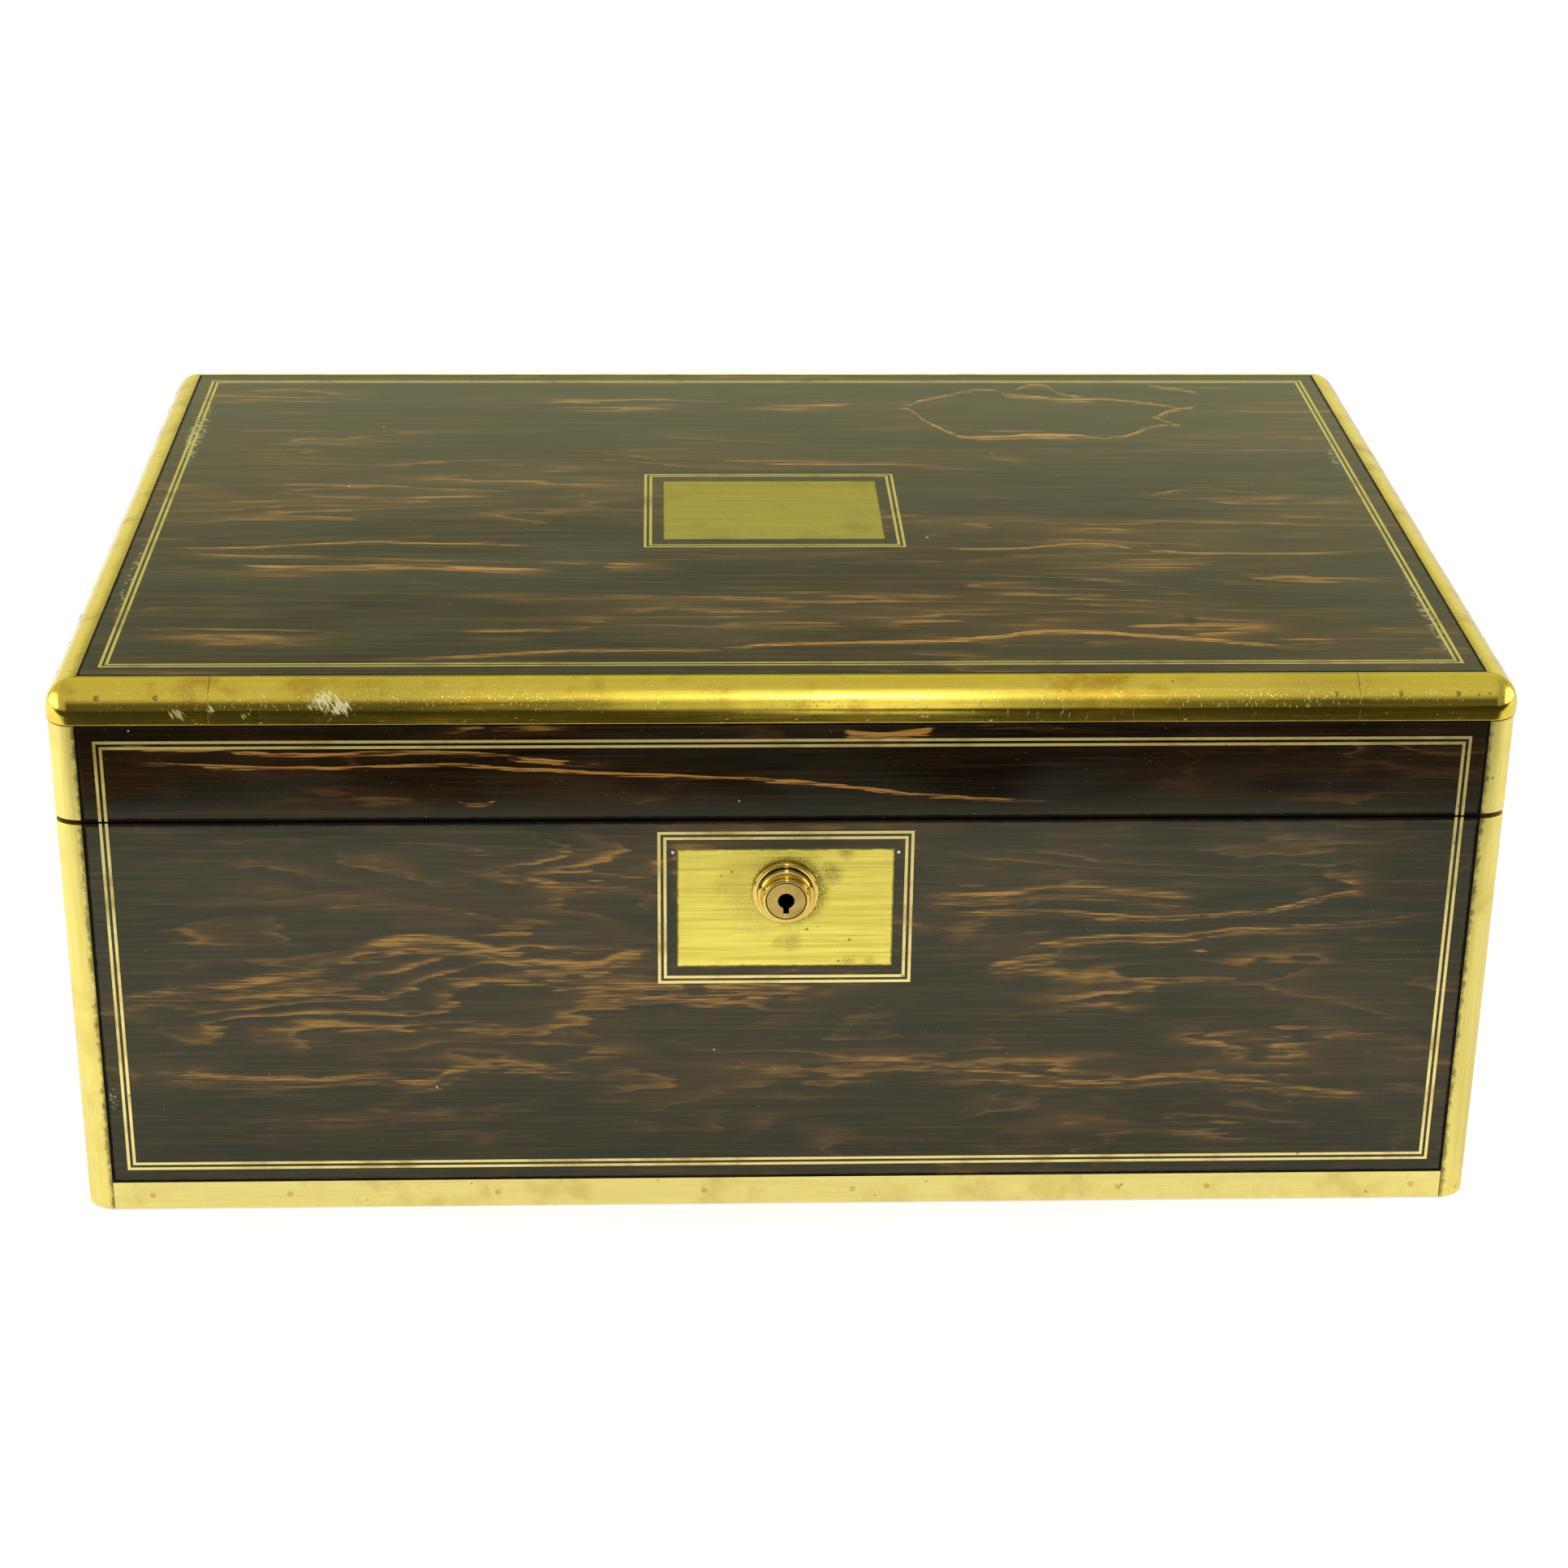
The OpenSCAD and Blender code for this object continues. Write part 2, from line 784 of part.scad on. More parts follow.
module base_back_veneer() {
    color("darkslategray")
        difference() {
            base_cut()
                back_veneer_slab(foot_h, body_h);
            on_slope()
                lid_hinge_recess();
        }
}

module base_side_veneers() {
    color("darkslategray")
        base_cut()
            side_veneer_slabs(foot_h, body_h);
}

module base_corner_straps() {
    color("goldenrod")
        base_cut()
            strap_column(0, body_h);
}

module foot_strips() {
    color("goldenrod") {
        for (sy = [-1, 1])
            translate([0, sy * (half_d - foot_strip_t / 2), foot_h / 2])
                cube([body_w - 2 * strap_w, foot_strip_t, foot_h], center = true);
        for (sx = [-1, 1])
            translate([sx * (half_w - foot_strip_t / 2), 0, foot_h / 2])
                cube([foot_strip_t, body_d - 2 * strap_w, foot_h], center = true);
    }
}

module base_stringing() {
    color("gold") {
        base_cut()
            front_lines();
        lock_lines();
    }
}

module underside_baize() {
    color("darkgreen")
        difference() {
            block([foot_strip_t - half_w, foot_strip_t - half_d, 0],
                  [half_w - foot_strip_t, half_d - foot_strip_t, baize_t]);
            strap_rebate();
        }
}

module lock_plate() {
    color("goldenrod")
        difference() {
            block([-lock_plate_w / 2, -half_d, lock_plate_z - lock_plate_h / 2],
                  [lock_plate_w / 2, lock_plate_t - half_d, lock_plate_z + lock_plate_h / 2]);
            translate([0, -half_d - over_cut, lock_z])
                rotate([-90, 0, 0])
                    cylinder(r = sleeve_r + turn_clear, h = wall_t);
        }
}

module lock_nozzle() {
    color("goldenrod")
        translate([0, -half_d, lock_z])
            rotate([90, 0, 0])
                rotate_extrude()
                    polygon(nozzle_profile);
}

// Barrel that turns in the nozzle, with the keyhole in its face and the cam pin behind
module lock_barrel() {
    length = barrel_back + half_d + nozzle_out;
    depth = length - key_web;
    color("darkgoldenrod")
        translate([0, -half_d - nozzle_out, lock_z])
            rotate([-90, 0, 0]) {
                difference() {
                    cylinder(r = barrel_r, h = length);
                    translate([0, 0, -over_cut])
                        cylinder(r = key_r, h = depth + over_cut);
                    translate([-key_slot_w / 2, 0, -over_cut])
                        cube([key_slot_w, key_slot_reach, depth + over_cut]);
                }
                translate([-cam_off, -cam_off, length - over_cut])
                    cylinder(r = cam_r, h = over_cut + swing_clear + bolt_t);
            }
}

module lock_case() {
    color("darkkhaki")
        base_cut(seam_gap / 2 + selvedge_t)
            difference() {
                block([-case_w / 2, case_y, case_low], [case_w / 2, -inner_y - case_t, body_h]);
                block([case_t - case_w / 2, case_y + case_t, bolt_low - slide_gap],
                      [case_w / 2 - case_t, over_cut - inner_y, body_h]);
                block([case_t - case_w / 2, bolt_y + bolt_t, case_low + case_t],
                      [case_w / 2 - case_t, over_cut - inner_y, body_h]);
                translate([0, case_y - over_cut, lock_z])
                    rotate([-90, 0, 0])
                        cylinder(r = barrel_r + swing_clear, h = case_t + 2 * over_cut);
            }
}

module lock_cover() {
    color("darkkhaki")
        base_cut(seam_gap / 2 + selvedge_t)
            block([-case_w / 2, -inner_y - case_t, case_low], [case_w / 2, -inner_y, body_h]);
}

module lock_selvedge() {
    color("goldenrod")
        difference() {
            seam_plate(-seam_gap / 2 - selvedge_t, -seam_gap / 2);
            on_slope()
                for (x = [-link_x, link_x])
                    translate([x, -link_up, 0])
                        cube([link_t + 2 * nose_gap, link_w + 2 * nose_gap, 4 * selvedge_t],
                             center = true);
        }
}

// Sliding bolt with two hooked noses that enter the links
module lock_bolt() {
    color("darkkhaki")
        difference() {
            union() {
                bolt_block(-link_x - link_t / 2 - nose_gap - nose_len - riser_w,
                           link_x - link_t / 2 - nose_gap - nose_len, bolt_low, bolt_high);
                for (x = [-link_x, link_x])
                    bolt_hook(x - link_t / 2 - nose_gap);
            }
            bolt_block(-cam_off - cam_r - swing_clear, swing_clear + cam_r - cam_off,
                       lock_z + cam_r / 2, lock_z + cam_off * sqrt(2) + cam_r + swing_clear, over_cut);
        }
}

module bolt_block(x0, x1, z0, z1, over = 0) {
    block([x0, bolt_y - bolt_t / 2 - over, z0], [x1, bolt_y + bolt_t / 2 + over, z1]);
}

module bolt_hook(tip) {
    bolt_block(tip - nose_len - riser_w, tip - nose_len, bolt_high - over_cut, nose_z + nose_h / 2);
    bolt_block(tip - nose_len - over_cut, tip, nose_z - nose_h / 2, nose_z + nose_h / 2);
}

// Plate in the lid with two eyed links that drop into the lock
module link_plate() {
    half = link_w / 2;
    color("goldenrod") {
        seam_plate(seam_gap / 2, seam_gap / 2 + selvedge_t);
        on_slope()
            for (x = [-link_x, link_x])
                translate([x, -link_up, 0])
                    difference() {
                        union() {
                            block([-link_t / 2, -half, half - link_len],
                                  [link_t / 2, half, seam_gap / 2 + over_cut]);
                            translate([-link_t / 2, 0, half - link_len])
                                rotate([0, 90, 0])
                                    cylinder(r = half, h = link_t);
                        }
                        translate([0, 0, link_hole_rise])
                            cube([2 * link_t, link_hole_w, link_hole_h], center = true);
                    }
    }
}

module base_hinge_leaves() {
    color("goldenrod")
        on_slope()
            lid_hinge_leaf(0);
}

module lid_hinge_leaves() {
    color("goldenrod")
        in_lid()
            lid_hinge_leaf(1);
}

module hinge_pins() {
    color("darkgoldenrod")
        for (x = [-hinge_x, hinge_x])
            translate([x, hinge_y, hinge_z])
                rotate([0, 90, 0])
                    cylinder(r = hinge_pin_r, h = hinge_len, center = true);
}

module compartment_floor() {
    color("peru")
        block([-inner_x, -inner_y, ink_floor_z - ink_floor_t], [inner_x, divider_back, ink_floor_z]);
}

// Divider with a lip before the flap and a lower ledge that the flap rests on
module compartment_divider() {
    color("saddlebrown") {
        base_cut(surface_drop + swing_clear)
            block([-inner_x, divider_y, ink_floor_z], [inner_x, divider_y + divider_lip, body_h]);
        base_cut(flap_under)
            block([-inner_x, divider_y, ink_floor_z], [inner_x, divider_back, body_h]);
    }
}

// Partitions beside the ink bottles, each with a strip that the pen tray rests on
module ink_partitions() {
    color("saddlebrown")
        mirrored_x() {
            base_cut(surface_drop)
                block([partition_x - partition_t, -inner_y, ink_floor_z], [partition_x, divider_y, body_h]);
            block([partition_x - partition_t - tray_bearer, -inner_y, tray_z - tray_h - tray_bearer],
                  [partition_x - partition_t, divider_y, tray_z - tray_h]);
        }
}

// Pen tray: a board with a long round-bottomed scoop
module pen_tray() {
    half = partition_x - partition_t - slide_gap;
    width = ink_w - 2 * slide_gap;
    chord = width / 2 - tray_rim;
    scoop_r = (chord * chord + scoop_d * scoop_d) / (2 * scoop_d);
    run = half - tray_rim - chord;
    color("saddlebrown")
        difference() {
            block([-half, slide_gap - inner_y, tray_z - tray_h], [half, divider_y - slide_gap, tray_z]);
            translate([0, bottle_y, tray_z - scoop_d + scoop_r]) {
                rotate([0, 90, 0])
                    cylinder(r = scoop_r, h = 2 * run, center = true);
                for (x = [-run, run])
                    translate([x, 0, 0])
                        sphere(scoop_r);
            }
        }
}

// Square glass bottle with rounded edges, a round well and a round neck
module ink_bottle(x) {
    flat = bottle_w - 2 * bottle_edge_r;
    color("lightblue")
        translate([x, bottle_y, ink_floor_z])
            difference() {
                union() {
                    translate([-flat / 2, -bottle_w / 2, 0])
                        cube([flat, bottle_w, bottle_h]);
                    translate([-bottle_w / 2, -flat / 2, 0])
                        cube([bottle_w, flat, bottle_h]);
                    for (sx = [-1, 1], sy = [-1, 1])
                        translate([sx * flat / 2, sy * flat / 2, 0])
                            cylinder(r = bottle_edge_r, h = bottle_h);
                    cylinder(r = neck_r, h = bottle_h + neck_h);
                }
                translate([0, 0, glass_t])
                    cylinder(r = bottle_w / 2 - glass_t, h = bottle_h - 2 * glass_t);
                translate([0, 0, glass_t])
                    cylinder(r = neck_r - glass_t / 2, h = bottle_h + neck_h);
            }
}

module ink_bottle_left() {
    ink_bottle(-bottle_x);
}

module ink_bottle_right() {
    ink_bottle(bottle_x);
}

// Domed screw cap that turns on a bottle's neck
module ink_cap(x) {
    body_r = cap_r - cap_bead;
    color("goldenrod")
        translate([x, bottle_y, ink_floor_z + bottle_h + cap_lift])
            difference() {
                union() {
                    cylinder(r = body_r, h = cap_h);
                    for (z = [0, cap_h - 2 * cap_bead])
                        translate([0, 0, z])
                            cylinder(r = cap_r, h = 2 * cap_bead);
                    intersection() {
                        translate([0, 0, cap_h + cap_dome - dome_r(body_r)])
                            sphere(dome_r(body_r));
                        cylinder(r = body_r, h = cap_h + 2 * cap_dome);
                    }
                }
                translate([0, 0, -over_cut])
                    cylinder(r = neck_r + swing_clear, h = cap_h - cap_wall + over_cut);
            }
}

module ink_cap_left() {
    ink_cap(-bottle_x);
}

module ink_cap_right() {
    ink_cap(bottle_x);
}

module base_flap_rail() {
    color("saddlebrown")
        intersection() {
            interior();
            on_slope()
                flap_rail();
        }
}

module base_flap_bearers() {
    color("saddlebrown")
        intersection() {
            block([-inner_x, divider_back, 0], [inner_x, inner_y, body_h]);
            on_slope()
                side_bearers(big);
        }
}

module base_flap_hinges() {
    color("goldenrod")
        on_slope()
            flap_hinge_fixed();
}

module lid_top_board() {
    color("sienna") {
        block([rim_seat - half_w, rim_seat - half_d, lid_wall_top],
              [half_w - rim_seat, half_d - rim_seat, body_h - rim_t]);
        block([rim_in - half_w, rim_in - half_d, lid_wall_top],
              [half_w - rim_in, half_d - rim_in, body_h - veneer_t]);
    }
}

module lid_front_wall() {
    color("saddlebrown")
        difference() {
            lid_cut()
                block([veneer_t - half_w, veneer_t - half_d, 0],
                      [half_w - veneer_t, -inner_y, lid_wall_top]);
            strap_rebate();
            rim_rebate();
            seam_slot(0, seam_gap / 2 + selvedge_t + seat_gap, seat_gap, over_cut);
        }
}

module lid_back_wall() {
    color("saddlebrown")
        difference() {
            lid_cut()
                block([veneer_t - half_w, inner_y, 0], [half_w - veneer_t, half_d - veneer_t, lid_wall_top]);
            strap_rebate();
            rim_rebate();
            in_lid()
                lid_hinge_recess();
        }
}

module lid_left_wall() {
    color("saddlebrown")
        mirror([1, 0, 0])
            lid_side_wall();
}

module lid_right_wall() {
    color("saddlebrown")
        lid_side_wall();
}

module lid_side_wall() {
    difference() {
        lid_cut()
            side_wall();
        rim_rebate();
    }
}

module lid_top_veneer() {
    color("darkslategray")
        difference() {
            block([rim_in - half_w, rim_in - half_d, body_h - veneer_t],
                  [half_w - rim_in, half_d - rim_in, body_h]);
            top_lines();
            name_plate_space(over_cut);
        }
}

module lid_front_veneer() {
    color("darkslategray")
        difference() {
            lid_cut()
                front_veneer_slab(0, rim_low_z);
            front_lines();
        }
}

module lid_back_veneer() {
    color("darkslategray")
        difference() {
            lid_cut()
                back_veneer_slab(0, rim_low_z);
            in_lid()
                lid_hinge_recess();
        }
}

module lid_side_veneers() {
    color("darkslategray")
        lid_cut()
            side_veneer_slabs(0, rim_low_z);
}

module rim_strips() {
    color("goldenrod") {
        for (turn = [0, 180])
            rotate([0, 0, turn])
                translate([half_w, 0, 0])
                    rim_strip_solid(body_d - 2 * rim_leg_y);
        for (turn = [90, 270])
            rotate([0, 0, turn])
                translate([half_d, 0, 0])
                    rim_strip_solid(body_w - 2 * rim_leg_x);
    }
}

module rim_corners() {
    color("goldenrod")
        four_corners()
            rim_corner_solid();
}

module lid_corner_straps() {
    color("goldenrod")
        lid_cut()
            strap_column(0, rim_low_z);
}

module lid_stringing() {
    color("gold") {
        lid_cut()
            front_lines();
        top_lines();
    }
}

module name_plate() {
    color("goldenrod")
        name_plate_space(0);
}

// Rail for the lower flap's hinges, and the rail at the lock side with the turn button's hole
module lid_flap_rails() {
    color("saddlebrown")
        intersection() {
            interior();
            in_lid() {
                flap_rail();
                difference() {
                    slope_block(-inner_x, inner_x, catch_rail_up, big,
                                -flap_under - bearer_t, -surface_drop);
                    translate([0, -catch_up, -surface_drop - catch_stud_len - over_cut])
                        cylinder(r = catch_stud_r + turn_clear, h = catch_stud_len + 2 * over_cut);
                }
            }
        }
}

module lid_flap_bearers() {
    color("saddlebrown")
        in_lid()
            side_bearers(catch_rail_up);
}

module lid_flap_hinges() {
    color("goldenrod")
        in_lid()
            flap_hinge_fixed();
}

module upper_flap_board() {
    color("saddlebrown")
        on_slope()
            flap_board(upper_flap_end);
}

module upper_flap_leather() {
    color("darkred")
        on_slope()
            flap_field(upper_flap_end, 0);
}

module upper_flap_hinges() {
    color("goldenrod")
        on_slope()
            flap_hinge_moving();
}

// Leather pull tab on the free edge of the upper flap
module upper_flap_tab() {
    reach = upper_flap_end + tab_reach - tab_w / 2;
    color("darkred")
        on_slope() {
            slope_block(-tab_w / 2, tab_w / 2, upper_flap_end - tab_hold, reach,
                        -surface_drop, tab_t - surface_drop);
            translate([0, -reach, -surface_drop])
                cylinder(r = tab_w / 2, h = tab_t);
        }
}

module lower_flap_board() {
    color("saddlebrown")
        in_lid()
            flap_board(lower_flap_end);
}

module lower_flap_leather() {
    color("darkred")
        in_lid()
            flap_field(lower_flap_end, 0);
}

module lower_flap_hinges() {
    color("goldenrod")
        in_lid()
            flap_hinge_moving();
}

// Turn button that keeps the lower flap shut
module flap_catch() {
    run = catch_reach - catch_w / 2;
    color("goldenrod")
        in_lid()
            translate([0, -catch_up, catch_lift - surface_drop]) {
                block([-run, -catch_w / 2, 0], [run, catch_w / 2, catch_t]);
                for (x = [-run, run])
                    translate([x, 0, 0])
                        cylinder(r = catch_w / 2, h = catch_t);
                translate([0, 0, -catch_stud_len])
                    cylinder(r = catch_stud_r, h = catch_stud_len + catch_t);
            }
}

base_front_wall();
base_back_wall();
base_left_wall();
base_right_wall();
base_bottom_board();
base_front_veneer();
base_back_veneer();
base_side_veneers();
base_corner_straps();
foot_strips();
base_stringing();
underside_baize();
lock_plate();
lock_nozzle();
lock_case();
lock_cover();
lock_selvedge();
base_hinge_leaves();
hinge_pins();
compartment_floor();
compartment_divider();
ink_partitions();
pen_tray();
ink_bottle_left();
ink_bottle_right();
base_flap_rail();
base_flap_bearers();
base_flap_hinges();
lid_top_board();
lid_front_wall();
lid_back_wall();
lid_left_wall();
lid_right_wall();
lid_top_veneer();
lid_front_veneer();
lid_back_veneer();
lid_side_veneers();
rim_strips();
rim_corners();
lid_corner_straps();
lid_stringing();
name_plate();
link_plate();
lid_hinge_leaves();
lid_flap_rails();
lid_flap_bearers();
lid_flap_hinges();
upper_flap_board();
upper_flap_leather();
upper_flap_hinges();
upper_flap_tab();
lower_flap_board();
lower_flap_leather();
lower_flap_hinges();
flap_catch();
lock_bolt();
lock_barrel();
ink_cap_left();
ink_cap_right();
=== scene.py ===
"""Finishes, fittings and studio for a brass-bound writing slope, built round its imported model.

The frame is in metres: X along the width, the lock faces -Y, Z up, the origin under the box.
Sizes here are in millimetres, and each new piece is a surface worked out as whole arrays.
"""

import logging
import math
from collections.abc import Sequence
from dataclasses import dataclass, field, replace
from enum import Enum
from functools import cache, reduce

import bmesh
import bpy
import numpy as np
from mathutils import Matrix, Vector


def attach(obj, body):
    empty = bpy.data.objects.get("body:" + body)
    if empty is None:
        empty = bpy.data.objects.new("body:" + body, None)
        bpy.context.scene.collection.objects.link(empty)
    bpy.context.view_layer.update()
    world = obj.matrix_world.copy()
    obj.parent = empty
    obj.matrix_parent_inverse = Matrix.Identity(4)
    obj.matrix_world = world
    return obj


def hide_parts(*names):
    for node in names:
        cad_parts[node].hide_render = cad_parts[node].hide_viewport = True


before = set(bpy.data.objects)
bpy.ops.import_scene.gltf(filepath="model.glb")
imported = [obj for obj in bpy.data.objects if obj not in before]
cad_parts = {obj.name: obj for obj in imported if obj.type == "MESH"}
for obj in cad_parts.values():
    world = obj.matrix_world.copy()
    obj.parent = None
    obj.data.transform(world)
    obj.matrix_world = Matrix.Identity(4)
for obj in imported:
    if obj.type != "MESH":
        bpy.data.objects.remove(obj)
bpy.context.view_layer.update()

LOG = logging.getLogger("writing_slope")
MM = 0.001
Colour = tuple[float, float, float, float]
Place = tuple[float, float]
Vec = tuple[float, float, float]


def tone(red: float, green: float, blue: float) -> Colour:
    """Linear colour of a paint given in the 0 to 255 steps of a screen.

    Args:
        red: screen red, 0 to 255.
        green: screen green, 0 to 255.
        blue: screen blue, 0 to 255.

    Returns:
        The linear colour with full opacity.
    """
    part = np.array([red, green, blue]) / 255
    linear = np.where(part <= 0.04045, part / 12.92, ((part + 0.055) / 1.055) ** 2.4)
    return (*linear.tolist(), 1.0)


def metres(x: float, y: float, z: float = 0.0) -> Vec:
    """A place in metres from millimetres."""
    return (x * MM, y * MM, z * MM)


# ---------------------------------------------------------------- shader nodes


@dataclass
class Graph:
    """A shader tree, whose nodes are each made and linked in a single call."""

    tree: bpy.types.NodeTree

    def feed(self, socket: bpy.types.NodeSocket, value: object) -> None:
        """Links a wire to a node's input, or sets the input to a plain value."""
        if isinstance(value, Wire):
            self.tree.links.new(value.socket, socket)
        else:
            socket.default_value = value

    def node(self, kind: str, inputs: dict | None = None, **settings: object) -> bpy.types.Node:
        """Adds a node.

        Args:
            kind: the node's type without its "ShaderNode" prefix.
            inputs: socket name or number to a plain value or a wire.
            **settings: attributes of the node.

        Returns:
            The new node.
        """
        made = self.tree.nodes.new("ShaderNode" + kind)
        for name, value in settings.items():
            setattr(made, name, value)
        for key, value in (inputs or {}).items():
            self.feed(made.inputs[key], value)
        return made

    def wire(self, kind: str, inputs: dict | None = None, out: int | str = 0, **settings: object) -> "Wire":
        """One output of a new node."""
        return Wire(self, self.node(kind, inputs, **settings).outputs[out])

    def wires(self, node: bpy.types.Node) -> "dict[str, Wire]":
        """All outputs of a node by name."""
        return {socket.name: Wire(self, socket) for socket in node.outputs}

    def join(self, x: object, y: object, z: object = 0.0) -> "Wire":
        """Vector of three numbers."""
        return self.wire("CombineXYZ", {0: x, 1: y, 2: z})

    def mix(self, share: object, a: object, b: object) -> "Wire":
        """Colour between a and b by a share."""
        return self.wire("Mix", {0: share, 6: a, 7: b}, out=2, data_type="RGBA")

    def object_place(self) -> "Wire":
        """The point on the piece in metres, in the frame's own axes."""
        return self.wire("TexCoord", out="Object")


@dataclass(frozen=True)
class Wire:
    """A value in a shader tree. Arithmetic and the other methods each add nodes that work on it."""

    graph: Graph
    socket: bpy.types.NodeSocket

    def math(self, operation: str, other: object = 0.0) -> "Wire":
        """One operation on this number and another."""
        return self.graph.wire("Math", {0: self, 1: other}, operation=operation)

    def __add__(self, other: object) -> "Wire":
        """Sum."""
        return self.math("ADD", other)

    def __sub__(self, other: object) -> "Wire":
        """Difference."""
        return self.math("SUBTRACT", other)

    def __rsub__(self, other: float) -> "Wire":
        """Difference from a plain number."""
        return self.graph.wire("Math", {0: other, 1: self}, operation="SUBTRACT")

    def __mul__(self, other: object) -> "Wire":
        """Product."""
        return self.math("MULTIPLY", other)

    def __truediv__(self, other: object) -> "Wire":
        """Quotient."""
        return self.math("DIVIDE", other)

    def __or__(self, other: object) -> "Wire":
        """The larger of two masks."""
        return self.math("MAXIMUM", other)

    def __abs__(self) -> "Wire":
        """The number without its sign."""
        return self.math("ABSOLUTE")

    __radd__, __rmul__ = __add__, __mul__

    def below(self, limit: object) -> "Wire":
        """One where the number is under the limit."""
        return self.math("LESS_THAN", limit)

    def swing(self, size: object) -> "Wire":
        """Noise from 0 to 1 turned into a swing of the given size about 0."""
        return (self - 0.5) * size

    def step(self, low: object, high: object, bottom: object = 0.0, top: object = 1.0) -> "Wire":
        """Smooth rise from bottom to top as the number goes from low to high."""
        ends = {"Value": self, "From Min": low, "From Max": high, "To Min": bottom, "To Max": top}
        return self.graph.wire("MapRange", ends, interpolation_type="SMOOTHSTEP")

    def fall(self, low: object, high: object, top: object = 1.0) -> "Wire":
        """Smooth fall from top to 0 as the number goes from low to high."""
        return self.step(low, high, top, 0.0)

    def mix(self, a: object, b: object) -> "Wire":
        """Colour between a and b, with this number as the share."""
        return self.graph.mix(self, a, b)

    def vector(self, operation: str, other: object = (0.0, 0.0, 0.0)) -> "Wire":
        """One operation on this vector and another."""
        return self.graph.wire("VectorMath", {0: self, 1: other}, operation=operation)

    def away(self, centre: object) -> "Wire":
        """The vector from a centre to this place."""
        return self.vector("SUBTRACT", centre)

    def length(self) -> "Wire":
        """Length of the vector."""
        return self.graph.wire("VectorMath", {0: self}, out="Value", operation="LENGTH")

    def scaled(self, scale: object) -> "Wire":
        """The vector times a number."""
        return self.graph.wire("VectorMath", {0: self, 3: scale}, operation="SCALE")

    def stretch(self, scale: Vec, shift: Vec = (0, 0, 0), turn: Vec = (0, 0, 0)) -> "Wire":
        """The place scaled, turned and then shifted."""
        inputs = {"Vector": self, "Location": shift, "Rotation": turn, "Scale": scale}
        return self.graph.wire("Mapping", inputs)

    def noise(self, scale: float = 1.0, detail: float = 2.0, rough: float = 0.5) -> "Wire":
        """Cloud noise from 0 to 1 at this place."""
        inputs = {"Vector": self, "Scale": scale, "Detail": detail, "Roughness": rough}
        return self.graph.wire("TexNoise", inputs, out="Fac")

    def cells(self, scale: float = 1.0) -> "dict[str, Wire]":
        """Cell pattern: this place's distance to its cell's centre, and the cell's colour."""
        return self.graph.wires(self.graph.node("TexVoronoi", {"Vector": self, "Scale": scale}))

    def parts(self) -> "list[Wire]":
        """The three numbers of the vector."""
        return list(self.graph.wires(self.graph.node("SeparateXYZ", {0: self})).values())

    def relief(self, strength: float, depth: float, **inputs: object) -> "Wire":
        """Normal bent by this height map, whose full height is the depth in metres."""
        return self.graph.wire("Bump", {"Height": self, "Strength": strength, "Distance": depth, **inputs})


def either(*masks: Wire) -> Wire:
    """Largest of several masks."""
    return reduce(Wire.__or__, masks)


FLOAT = "NodeSocketFloat"
ORIGIN: Vec = (0.0, 0.0, 0.0)
Wires = dict[str, Wire]
Outs = tuple[Wire, ...]


class Effect:
    """A shader group that several finishes share: built once, placed with each finish's own values.

    A subclass lists what it takes and gives, and fills its graph.
    """

    takes: dict[str, object] = {"Place": ORIGIN}
    gives: tuple[str, ...] = ("Mask",)

    def fill(self, graph: Graph, given: Wires) -> Outs:
        """Builds the nodes inside the group.

        Args:
            graph: the group's own graph.
            given: the group's inputs by name.

        Returns:
            The wires that feed the group's outputs, in their order.
        """
        raise NotImplementedError

    def tree(self) -> bpy.types.NodeTree:
        """The group's tree, made on its first use."""
        title = type(self).__name__
        if title in bpy.data.node_groups:
            return bpy.data.node_groups[title]
        made = bpy.data.node_groups.new(title, "ShaderNodeTree")
        for name, value in self.takes.items():
            kind = FLOAT if isinstance(value, float) else "NodeSocketVector"
            made.interface.new_socket(name, in_out="INPUT", socket_type=kind).default_value = value
        for name in self.gives:
            made.interface.new_socket(name, in_out="OUTPUT", socket_type=FLOAT)
        graph = Graph(made)
        results = self.fill(graph, graph.wires(made.nodes.new("NodeGroupInput")))
        leave = made.nodes.new("NodeGroupOutput")
        for name, wire in zip(self.gives, results, strict=True):
            graph.feed(leave.inputs[name], wire)
        return made

    def place(self, graph: Graph, **values: object) -> Wires:
        """Puts the group into a finish's graph with the given inputs, and gives its outputs."""
        return graph.wires(graph.node("Group", values, node_tree=self.tree()))


